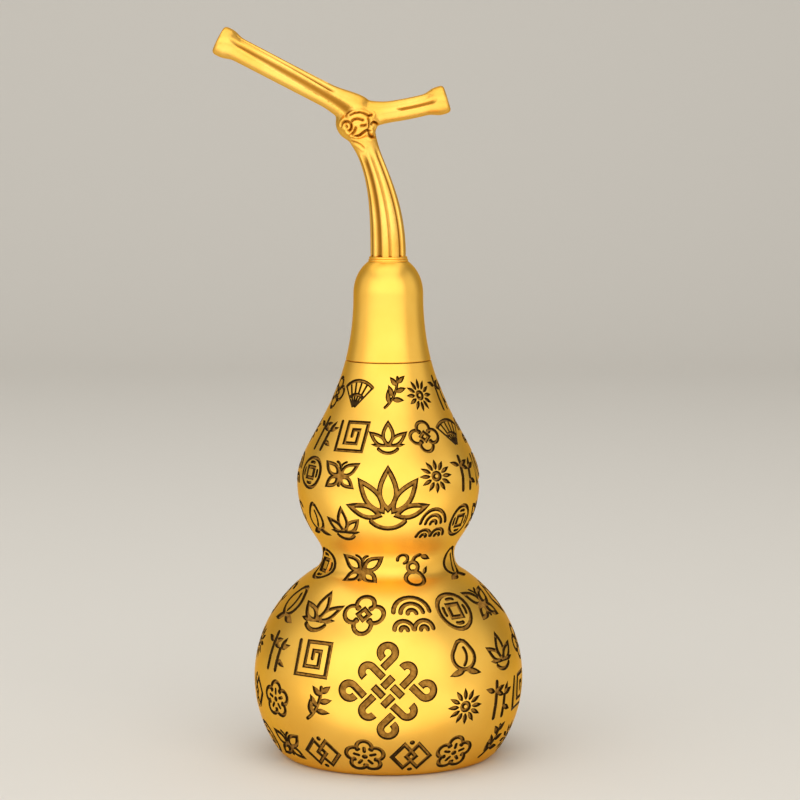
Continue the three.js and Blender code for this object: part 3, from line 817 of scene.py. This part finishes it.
def collar_piece(material):
    """The thin ring under the stem: a bead, a fine groove and a narrower bead."""
    top = COLLAR_LOW + COLLAR_T
    lower = arc(COLLAR_R - COLLAR_BEAD, COLLAR_LOW + COLLAR_BEAD, COLLAR_BEAD, -45, 65, 8)
    upper = arc(COLLAR_R - COLLAR_STEP - COLLAR_BEAD, top - COLLAR_BEAD, COLLAR_BEAD, -50, 90, 10)
    foot = [(BOLT_HOLE_R, COLLAR_LOW - COLLAR_SINK), (COLLAR_R + COLLAR_SPREAD, COLLAR_LOW - COLLAR_SINK)]
    outline = foot + [tuple(p) for p in lower + upper] + [(BOLT_HOLE_R, top)]
    set_down("stem_ring", spun(outline), [material], "lid", "stem_collar", sharp=40)


def plate_piece(material):
    """The round plate that closes the foot."""
    r = PLATE_R - SEAT_GAP
    outline = [(0, 0), (r - PLATE_CHAMFER, 0), (r, PLATE_CHAMFER), (r, PLATE_T), (0, PLATE_T)]
    set_down("foot_plate", spun(outline, closed=False), [material], "bottle", "base_plate")


def seal_piece(material):
    """The flat ring in the counterbore of the mouth."""
    edge = SEAL_CHAMFER
    inner, outer, low, high = MOUTH_R, SEAL_R, SEAL_LOW, SEAL_LOW + SEAL_T
    outline = [
        (inner + edge, low), (outer - edge, low), (outer, low + edge), (outer, high - edge),
        (outer - edge, high), (inner + edge, high), (inner, high - edge), (inner, low + edge),
    ]
    set_down("mouth_seal", spun(outline), [material], "seal", "seal_ring", sharp=60)


def helix(bm, profile, low, turns):
    """A ridge wound round Z: a closed (radius, height) profile carried up one pitch a turn."""
    verts = [bm.verts.new((0, -r, low + z)) for r, z in profile]
    first = bm.faces.new(verts)
    climb = (0, 0, THREAD_PITCH / THREAD_STEPS)
    steps = round(THREAD_STEPS * turns)
    bmesh.ops.spin(bm, geom=[first], axis=(0, 0, 1), dvec=climb, angle=2 * math.pi * turns, steps=steps)


def plug_piece(material):
    """The threaded tube: a plain wall cut back under a wound ridge."""
    root = PLUG_R - THREAD_DEPTH
    thread_top = SEAM_Z - THREAD_STOP
    outline = [
        (PLUG_BORE_R, PLUG_BOTTOM),
        (root - PLUG_LEAD_W, PLUG_BOTTOM),
        (root, PLUG_BOTTOM + PLUG_LEAD_T),
        (root, thread_top),
        (PLUG_R, thread_top + THREAD_RUNOUT),
        (PLUG_R, SOCKET_TOP - SEAT_GAP),
        (PLUG_BORE_R, SOCKET_TOP - SEAT_GAP),
    ]
    bm = spun(outline, PLUG_SIDES)
    crest = PLUG_R - RIDGE_CUT
    sunk = root - RIDGE_SINK
    ridge = [
        (sunk, -RIDGE_ROOT_HALF), (crest, -RIDGE_CREST_HALF),
        (crest, RIDGE_CREST_HALF), (sunk, RIDGE_ROOT_HALF),
    ]
    helix(bm, ridge, PLUG_BOTTOM + THREAD_START, THREAD_TURNS)
    bmesh.ops.recalc_face_normals(bm, faces=bm.faces)
    set_down("threaded_plug", bm, [material], "lid", "lid_plug", sharp=30)


# Vine stem


def along_branch(points, radii):
    """A plain round branch: a ring for each point, bridged to the next."""
    bm = bmesh.new()
    rings = []
    for i, (p, r) in enumerate(zip(points, radii)):
        ahead = points[min(i + 1, len(points) - 1)] - points[max(i - 1, 0)]
        turn = ahead.to_track_quat("Z", "Y").to_matrix().to_4x4()
        end = i in (0, len(points) - 1)
        circle = bmesh.ops.create_circle(
            bm, cap_ends=end, segments=BRANCH_SIDES, radius=r, matrix=Matrix.Translation(p) @ turn,
        )
        made = set(circle["verts"])
        rings.append([e for e in bm.edges if e.verts[0] in made and e.verts[1] in made])
    for one, other in zip(rings, rings[1:]):
        bmesh.ops.bridge_loops(bm, edges=one + other)
    bmesh.ops.recalc_face_normals(bm, faces=bm.faces)
    return bm


def branch_paths():
    """(points, radii) of the trunk, the long arm and the short arm, from the middle of the stem's foot."""
    shares = [i / BRANCH_STEPS for i in range(BRANCH_STEPS + 1)]
    leaving = Vector((0, 0, TRUNK_LOW * KNOT.z))
    arriving = Vector((TRUNK_SIDE * KNOT.x, 0, TRUNK_HIGH * KNOT.z))
    trunk = interpolate_bezier(Vector((0, 0, 0)), leaving, arriving, KNOT, BRANCH_STEPS + 1)
    trunk_root = 1 - ROOT_LENGTH / TRUNK_LENGTH
    trunk_r = [
        STEM_FOOT_R + (STEM_NECK_R - STEM_FOOT_R) * smoothstep(t, 0, trunk_root)
        + ROOT_SWELL * smoothstep(t, trunk_root, 1)
        for t in shares
    ]
    long_root = KNOT + Vector((0, 0, LONG_ROOT * KNOT_HALF.z))
    long_arm = [long_root.lerp(LONG_END, t) for t in shares]
    short_root = KNOT + Vector((0, 0, SHORT_ROOT * KNOT_HALF.z))
    middle_z = short_root.z + SHORT_CLIMB * (SHORT_END.z - short_root.z)
    middle = Vector(((KNOT.x + SHORT_END.x) / 2, 0, middle_z))
    short_arm = [short_root.lerp(middle, t).lerp(middle.lerp(SHORT_END, t), t) for t in shares]
    return (trunk, trunk_r), flared(long_arm, LONG_R, LONG_LIP), flared(short_arm, SHORT_R, SHORT_LIP)


def flared(points, radius, lip):
    """An arm with a swollen root, a lip at its cut end, and a shallow dish in the cut."""
    gone = [0.0]
    for a, b in zip(points, points[1:]):
        gone.append(gone[-1] + (b - a).length)
    whole = gone[-1]
    radii = [
        radius + ROOT_SWELL * (1 - smoothstep(s, 0, ROOT_LENGTH))
        + (lip - radius) * smoothstep(s, whole - LIP_LENGTH, whole - LIP_BEAD)
        for s in gone
    ]
    ahead = (points[-1] - points[-2]).normalized()
    end = [
        (END_ROUND * CUT_AHEAD, lip - END_ROUND * CUT_INWARD),
        (END_ROUND, lip - END_ROUND),
        (END_ROUND - DISH, lip * DISH_SHARE),
    ]
    return points + [points[-1] + ahead * s for s, _ in end], radii + [r for _, r in end]


STEM_VOXEL = 0.35
STEM_SMOOTHING = 20


def ball_on(bm, radius, matrix):
    bmesh.ops.create_uvsphere(bm, u_segments=BALL_SIDES, v_segments=BALL_ROWS, radius=radius, matrix=matrix)


def blank_stem():
    """Trunk, arms and knot melted together into one smooth casting."""
    bm = bmesh.new()
    for points, radii in branch_paths():
        scratch = mesh_of("branch", along_branch(points, radii))
        bm.from_mesh(scratch)
        bpy.data.meshes.remove(scratch)
        ball_on(bm, radii[0], Matrix.Translation(points[0]))
    ball_on(bm, 1, Matrix.Translation(KNOT) @ Matrix.Diagonal(KNOT_HALF.to_4d()))
    whole = mesh_of("stem_blank", bm)
    blank = add_object("stem_blank", whole)
    remesh = blank.modifiers.new("melt", "REMESH")
    remesh.mode = "VOXEL"
    remesh.voxel_size = STEM_VOXEL
    melted = bmesh.new()
    melted.from_object(blank, bpy.context.evaluated_depsgraph_get())
    bpy.data.objects.remove(blank)
    bpy.data.meshes.remove(whole)
    for _ in range(STEM_SMOOTHING):
        bmesh.ops.smooth_vert(
            melted, verts=melted.verts, factor=0.5, use_axis_x=True, use_axis_y=True, use_axis_z=True,
        )
    cut = bmesh.ops.bisect_plane(
        melted, geom=[*melted.verts, *melted.edges, *melted.faces],
        plane_co=(0, 0, -SEAT_GAP), plane_no=(0, 0, 1), clear_inner=True,
    )["geom_cut"]
    bmesh.ops.contextual_create(melted, geom=[g for g in cut if isinstance(g, bmesh.types.BMEdge)])
    return melted


FLUTES = 9
FLUTE_DEPTH = 0.9
FLUTE_ROUNDING = 3
# For the trunk, the long arm and the short arm: angle of the middle groove from the front in degrees, and its
# width, both at the start and the end; share of that width that the grooves right or above it, and left or
# below it, have; depth of the middle groove; how much later the side grooves start; how near the branch
# counts against the others; and where its grooves start, are full, fade and end
FLUTE_TURN = ((7, 7), (-24, 25), (-4, -4))
FLUTE_WIDTH = ((0.6, 0.5), (2.7, 0.4), (0.6, 0.8))
FLUTE_SIDES = ((1.5, 2.4), (0.36, 0.0), (0.0, 0.0))
FLUTE_MIDDLE = (0.75, 1.0, 1.0)
FLUTE_LATER = (0.0, 0.15, 0.0)
FLUTE_CLAIM = (1.0, 0.7, 1.0)
FLUTE_RUN = ((-0.1, 0.0, 0.68, 0.8), (0.0, 0.06, 0.8, 0.92), (0.36, 0.5, 0.8, 0.9))

LEAST_STEP = 0.1


def nearest_on(branch, tree, p):
    """(share along a branch, offset from it, its radius, its direction) at the place nearest to a point."""
    points, radii = branch
    near, best, _ = tree.find(p)
    ahead = (points[min(best + 1, len(points) - 1)] - points[max(best - 1, 0)]).normalized()
    offset = p - near
    share = (best + offset.dot(ahead) / max((points[1] - points[0]).length, LEAST_STEP)) / (len(points) - 1)
    return share, offset - ahead * offset.dot(ahead), radii[best], ahead


def flute_at(p, branches, trees):
    """How much of a groove runs at a point of the stem, from 0 to 1."""
    found = []
    for number, (branch, tree) in enumerate(zip(branches, trees)):
        share, offset, radius, ahead = nearest_on(branch, tree, p)
        found.append((offset.length / radius * FLUTE_CLAIM[number], number, share, offset, radius, ahead))
    _, number, share, offset, radius, ahead = min(found, key=lambda f: f[0])
    front = Vector((0, -1, 0))
    along = min(max(share, 0), 1)
    turn = blend(FLUTE_TURN[number], math.sqrt(along))
    width = blend(FLUTE_WIDTH[number], along)
    start, full, fading, end = FLUTE_RUN[number]
    angle = math.degrees(math.atan2(offset.dot(ahead.cross(front)), offset.dot(front))) - turn
    angle = (angle + 180) % 360 - 180
    pitch = 360 / FLUTES
    depth = FLUTE_MIDDLE[number]
    if pitch / 2 < abs(angle) < 180 - pitch:
        depth = 1.0
        above, below = FLUTE_SIDES[number]
        width *= above if angle > 0 else below
        start += FLUTE_LATER[number]
        full += FLUTE_LATER[number]
    if not width:
        return 0.0
    away = math.radians(abs((angle + pitch / 2) % pitch - pitch / 2)) * radius
    run = smoothstep(share, start, full) * (1 - smoothstep(share, fading, end))
    return depth * run * math.exp(-((away / width) ** FLUTE_ROUNDING))


def curl_marks():
    """The curled grooves on the knot and the crease below it, as seen from the front: (place, strength)."""
    paths = (
        (0.8, line((-2.3, 3.0), (-0.7, 3.7), (1.4, 4.0), (3.2, 3.5), (4.6, 2.7), (6.2, 3.1))),
        (0.8, line((-1.8, 0.6), (-0.8, 1.3), (0.4, 1.5), (1.6, 1.3), (2.6, 1.0))),
        (0.75, line((2.0, -1.1), (2.9, -1.1), (3.8, -0.9))),
        (0.75, line((4.7, 1.5), (5.0, 0.2), (4.8, -1.8))),
        (1.0, line((-0.2, -5.0), (1.1, -4.8), (2.8, -3.4), (4.1, -2.7), (4.9, -3.1))),
        (0.8, line((4.8, -3.1), (4.9, -4.2), (5.3, -5.1), (6.1, -5.6), (7.0, -5.4), (7.6, -4.6))),
        (0.75, line((-1.7, -4.4), (-0.7, -3.2), (-0.2, -1.9))),
        (0.5, line((-1.5, -7.6), (0.4, -8.2), (1.8, -9.0), (2.9, -10.0))),
        (0.85, arc(-3.7, -1.4, 1.9, 170, -60, 24)),
        (0.7, arc(-3.7, -1.4, 0.15, 0, 360, 6)),
        (0.85, arc(6.9, -1.0, 1.3, 160, -20, 14)),
    )
    marks = []
    for strength, path in paths:
        for a, b in zip(path, path[1:]):
            marks += [(a.lerp(b, k / MARK_STEPS), strength) for k in range(MARK_STEPS + 1)]
    return marks


CURL_DEPTH = 0.95
CURL_WIDTH = 0.48
CURL_SWELL = 0.7
CURL_REACH = 12.0
# How much a surface faces front or back where the curls start and where they are full
CURL_FACING = (0.25, 0.5)
# Raised patch under the curls: its middle from the knot's middle, half sizes, level share and height
BOSS_MIDDLE = Vector((1.2, -0.5))
BOSS_HALF = Vector((8.2, 6.0))
BOSS_LEVEL = 0.75
BOSS_RISE = 0.7
FLUTE_PATINA = 0.65


def stem_piece(material):
    """The vine stem: the smooth casting with grooves and curls pressed in, and patina marked along them."""
    bm = blank_stem()
    bm.normal_update()
    patina = bm.verts.layers.float.new("groove")
    branches = branch_paths()
    trees = [tree_of(points) for points, _ in branches]
    marks = curl_marks()
    curls = tree_of([place for place, _ in marks])
    moves = []
    for vert in bm.verts:
        flute = flute_at(vert.co, branches, trees)
        flat = Vector((vert.co.x - KNOT.x, vert.co.z - KNOT.z))
        curl, boss = 0.0, 0.0
        if flat.length < CURL_REACH:
            facing = smoothstep(abs(vert.normal.y), *CURL_FACING)
            _, nearest, apart = curls.find(flat.to_3d())
            strength = marks[nearest][1]
            curl = facing * strength * math.exp(-((apart / CURL_WIDTH) ** 2))
            away = flat - BOSS_MIDDLE
            outward = math.hypot(away.x / BOSS_HALF.x, away.y / BOSS_HALF.y)
            boss = facing * (1 - smoothstep(outward, BOSS_LEVEL, 1))
            swell = math.exp(-(((apart - 2 * CURL_WIDTH) / CURL_WIDTH) ** 2))
            boss += facing * strength * CURL_SWELL * swell
        vert[patina] = max(FLUTE_PATINA * flute, curl)
        moves.append(vert.normal * (BOSS_RISE * boss - max(FLUTE_DEPTH * flute, CURL_DEPTH * curl)))
    for vert, move in zip(bm.verts, moves):
        vert.co += move
    bmesh.ops.translate(bm, vec=(0, 0, STEM_Z), verts=bm.verts)
    set_down("vine_handle", bm, [material], "lid", "vine_stem", sharp=60)


# Materials

# What the cloud, and the sum of cloud and grain, run between
CLOUD_LIMITS = (0.38, 0.68)
POLISH_LIMITS = (0.7, 1.3)


def new_material(name):
    material = bpy.data.materials.new(name)
    material.use_nodes = True
    tree = material.node_tree
    return material, tree, tree.nodes["Principled BSDF"]


def mapped(tree, value, low, high):
    """A node that maps a value between two limits onto 0 to 1."""
    node = tree.nodes.new("ShaderNodeMapRange")
    node.inputs["From Min"].default_value = low
    node.inputs["From Max"].default_value = high
    tree.links.new(value, node.inputs["Value"])
    return node


def mixed(tree, share, first):
    """A node that mixes a second colour into the first."""
    node = tree.nodes.new("ShaderNodeMix")
    node.data_type = "RGBA"
    tree.links.new(share, node.inputs["Factor"])
    tree.links.new(first, node.inputs["A"])
    return node


def metal_grain():
    """Shared finish of all pieces: cloudy tone, fine grain and uneven polish."""
    group = bpy.data.node_groups.new("metal_grain", "ShaderNodeTree")
    for way, kind, names in (
        ("INPUT", "NodeSocketColor", ("Bright", "Deep")),
        ("INPUT", "NodeSocketFloat", ("Cloud Size", "Grain Size", "Smoothest", "Roughest")),
        ("OUTPUT", "NodeSocketColor", ("Colour",)),
        ("OUTPUT", "NodeSocketFloat", ("Roughness", "Height")),
    ):
        for name in names:
            group.interface.new_socket(name, in_out=way, socket_type=kind)
    nodes, link = group.nodes, group.links.new
    given, out = nodes.new("NodeGroupInput"), nodes.new("NodeGroupOutput")
    place = nodes.new("ShaderNodeTexCoord")
    cloud, grain = nodes.new("ShaderNodeTexNoise"), nodes.new("ShaderNodeTexNoise")
    for noise, size, detail in ((cloud, "Cloud Size", 5), (grain, "Grain Size", 3)):
        noise.inputs["Detail"].default_value = detail
        link(place.outputs["Object"], noise.inputs["Vector"])
        link(given.outputs[size], noise.inputs["Scale"])
    tone = mapped(group, cloud.outputs["Fac"], *CLOUD_LIMITS)
    mix = mixed(group, tone.outputs["Result"], given.outputs["Bright"])
    link(given.outputs["Deep"], mix.inputs["B"])
    link(mix.outputs["Result"], out.inputs["Colour"])
    polish = nodes.new("ShaderNodeMath")
    polish.operation = "ADD"
    link(grain.outputs["Fac"], polish.inputs[0])
    link(cloud.outputs["Fac"], polish.inputs[1])
    rough = mapped(group, polish.outputs["Value"], *POLISH_LIMITS)
    link(given.outputs["Smoothest"], rough.inputs["To Min"])
    link(given.outputs["Roughest"], rough.inputs["To Max"])
    link(rough.outputs["Result"], out.inputs["Roughness"])
    link(grain.outputs["Fac"], out.inputs["Height"])
    return group


GRAIN = metal_grain()
WHITE = (1.0, 1.0, 1.0, 1)
BRASS_EDGE = (1.0, 0.76, 0.36, 1)
GRAIN_HEIGHT = 0.0002
SPECULAR = 0.15
# Brown in the grooves of the stem: strength of groove where it starts and where it is full, and its colour
STEM_PATINA = ((0.15, 0.65, (0.3, 0.125, 0.012, 1)), (0.75, 1.0, (0.15, 0.065, 0.008, 1)))


def grained_metal(
    name, bright, deep, smoothest, roughest,
    cloud=40.0, grain=2600.0, bump=0.12, metallic=1.0, edge=BRASS_EDGE,
):
    """A surface with the shared grain. Colours are linear."""
    material, tree, shader = new_material(name)
    finish = tree.nodes.new("ShaderNodeGroup")
    finish.node_tree = GRAIN
    for socket, value in (
        ("Bright", (*bright, 1)), ("Deep", (*deep, 1)), ("Cloud Size", cloud), ("Grain Size", grain),
        ("Smoothest", smoothest), ("Roughest", roughest),
    ):
        finish.inputs[socket].default_value = value
    relief = tree.nodes.new("ShaderNodeBump")
    relief.inputs["Strength"].default_value = bump
    relief.inputs["Distance"].default_value = GRAIN_HEIGHT
    link = tree.links.new
    link(finish.outputs["Height"], relief.inputs["Height"])
    link(relief.outputs["Normal"], shader.inputs["Normal"])
    link(finish.outputs["Colour"], shader.inputs["Base Color"])
    link(finish.outputs["Roughness"], shader.inputs["Roughness"])
    shader.inputs["Metallic"].default_value = metallic
    shader.inputs["Specular IOR Level"].default_value = SPECULAR
    shader.inputs["Specular Tint"].default_value = edge
    return material


def stem_brass():
    """Cast brass with brown patina left in its grooves, darkest in the curls of the knot."""
    material = grained_metal(
        "stem_brass", (0.95, 0.56, 0.12), (0.86, 0.46, 0.07), 0.28, 0.42,
        cloud=60.0, grain=1500.0, bump=0.25,
    )
    tree = material.node_tree
    shader = tree.nodes["Principled BSDF"]
    finish = next(n for n in tree.nodes if n.type == "GROUP")
    groove = tree.nodes.new("ShaderNodeAttribute")
    groove.attribute_name = "groove"
    colour = finish.outputs["Colour"]
    for low, high, brown in STEM_PATINA:
        fade = mapped(tree, groove.outputs["Fac"], low, high)
        mix = mixed(tree, fade.outputs["Result"], colour)
        mix.inputs["B"].default_value = brown
        colour = mix.outputs["Result"]
    tree.links.new(colour, shader.inputs["Base Color"])
    return material


SATIN_BRASS = grained_metal(
    "satin_brass", (0.95, 0.55, 0.09), (0.9, 0.49, 0.07), 0.33, 0.39, bump=0.01,
)
RECESS_BROWN = grained_metal(
    "recess_brown", (0.38, 0.178, 0.027), (0.18, 0.076, 0.009), 0.45, 0.65,
    cloud=600.0, grain=1800.0, bump=0.8, metallic=0.3,
)
# Walls of the recesses: near black, which is patina together with painted shade that stands for the shadow in
# the corners of the recesses
RECESS_WALL_SHADE_PATINA = grained_metal(
    "recess_wall_shade_patina", (0.03, 0.014, 0.003), (0.018, 0.008, 0.002), 0.5, 0.7,
    cloud=300.0, grain=1800.0, bump=0.5, metallic=0.2,
)
STEM_BRASS = stem_brass()
TURNED_BRASS = grained_metal(
    "turned_brass", (0.92, 0.54, 0.12), (0.84, 0.47, 0.09), 0.16, 0.28, bump=0.1,
)
ZINC_STEEL = grained_metal(
    "zinc_steel", (0.62, 0.63, 0.65), (0.5, 0.51, 0.54), 0.3, 0.45, bump=0.2, edge=WHITE,
)
SEAL_RUBBER = grained_metal(
    "seal_rubber", (0.03, 0.028, 0.026), (0.02, 0.019, 0.018), 0.6, 0.8,
    cloud=80.0, grain=2000.0, bump=0.4, metallic=0.0, edge=WHITE,
)

body_piece([SATIN_BRASS, RECESS_BROWN, RECESS_WALL_SHADE_PATINA])
lid_piece(SATIN_BRASS)
collar_piece(SATIN_BRASS)
plate_piece(SATIN_BRASS)
seal_piece(SEAL_RUBBER)
plug_piece(TURNED_BRASS)
stem_piece(STEM_BRASS)
for hidden_steel in ("stem_stud", "stem_washer", "stem_nut"):
    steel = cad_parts[hidden_steel].data.materials
    steel.clear()
    steel.append(ZINC_STEEL)


# Stage, light and camera, in metres

SHEET_HALF = 4.0
SHEET_BEND_Y = 1.6
SHEET_BEND = 0.8
SHEET_BACK = 2.4
SHEET_TOP = 4.0
PAPER = (0.65, 0.62, 0.565, 1)
PAPER_ROUGHNESS = 0.85
SKY = (1.0, 0.98, 0.95, 1)
SKY_STRENGTH = 0.38

# Soft lamps: place, point that they face, width, height and power. The level ones face a point a hair behind
# them, which sets the way that their height runs
LAMPS = (
    ("front_panel", (-0.05, -1.6, 0.9), (-0.05, 0, 0.9), 2.6, 1.6, 19),
    ("left_panel", (-1.55, -1.18, 0.9), (0, -0.3, 0.9), 0.94, 1.6, 6.5),
    ("right_panel", (1.42, -1.32, 0.9), (0, -0.45, 0.9), 0.65, 1.6, 4.5),
    ("left_wall", (-1.9, -0.15, 0.9), (0, -0.15, 0.9), 1.4, 1.8, 4.2),
    ("right_wall", (1.9, -0.15, 0.9), (0, -0.15, 0.9), 1.4, 1.8, 4.2),
    ("floor_card", (-0.05, -0.61, 0.001), (-0.05, -0.6099, 1), 1.2, 1.07, 3.5),
    ("upper_panel", (-0.05, -1.05, 2.0), (0, 0, 0.13), 2.6, 1.25, 11),
    ("ceiling_panel", (-0.35, 0.35, 2.2), (-0.35, 0.3501, 0), 3.1, 2.0, 21.9),
)


def backdrop():
    """A pale floor that turns up into a wall behind."""
    bm = bmesh.new()
    bend = [tuple(p) for p in arc(SHEET_BEND_Y, SHEET_BEND, SHEET_BEND, -90, 0, 16)]
    path = [(-SHEET_HALF, 0.0)] + bend + [(SHEET_BACK, SHEET_TOP)]
    verts = [bm.verts.new((-SHEET_HALF, y, z)) for y, z in path]
    edges = [bm.edges.new(pair) for pair in zip(verts, verts[1:])]
    across = bmesh.ops.extrude_edge_only(bm, edges=edges)["geom"]
    far_side = [g for g in across if isinstance(g, bmesh.types.BMVert)]
    bmesh.ops.translate(bm, vec=(2 * SHEET_HALF, 0, 0), verts=far_side)
    mesh = mesh_of("backdrop", bm)
    mesh.polygons.foreach_set("use_smooth", [True] * len(mesh.polygons))
    material, _, shader = new_material("pale_paper")
    shader.inputs["Base Color"].default_value = PAPER
    shader.inputs["Roughness"].default_value = PAPER_ROUGHNESS
    mesh.materials.append(material)
    sheet = add_object("backdrop", mesh)


def softbox(name, place, aim, width, height, power):
    """A flat lamp at a place, facing a point."""
    lamp = bpy.data.lights.new(name, "AREA")
    lamp.shape = "RECTANGLE"
    lamp.size, lamp.size_y = width, height
    lamp.energy = power
    box = add_object(name, lamp)
    box.location = place
    box.rotation_euler = (Vector(aim) - Vector(place)).to_track_quat("-Z", "Y").to_euler()


backdrop()
for lamp in LAMPS:
    softbox(*lamp)

world = bpy.data.worlds.new("studio")
world.use_nodes = True
sky = world.node_tree.nodes["Background"].inputs
sky["Color"].default_value = SKY
sky["Strength"].default_value = SKY_STRENGTH
scene.world = world
scene.view_settings.view_transform = "Standard"

CAMERA_DISTANCE = 1.1
CAMERA_HEIGHT = 0.2634
CAMERA_SIDE = 0.0047
CAMERA_TILT = 0.108
FOCAL_PIXELS = 2750
FRAME_PIXELS = 800
SENSOR = 36.0

view = bpy.data.cameras.new("camera")
view.sensor_width = SENSOR
view.lens = SENSOR * FOCAL_PIXELS / FRAME_PIXELS
camera = add_object("camera", view)
camera.location = (CAMERA_SIDE, -CAMERA_DISTANCE, CAMERA_HEIGHT)
camera.rotation_euler = (math.pi / 2 - CAMERA_TILT, 0, 0)
scene.camera = camera
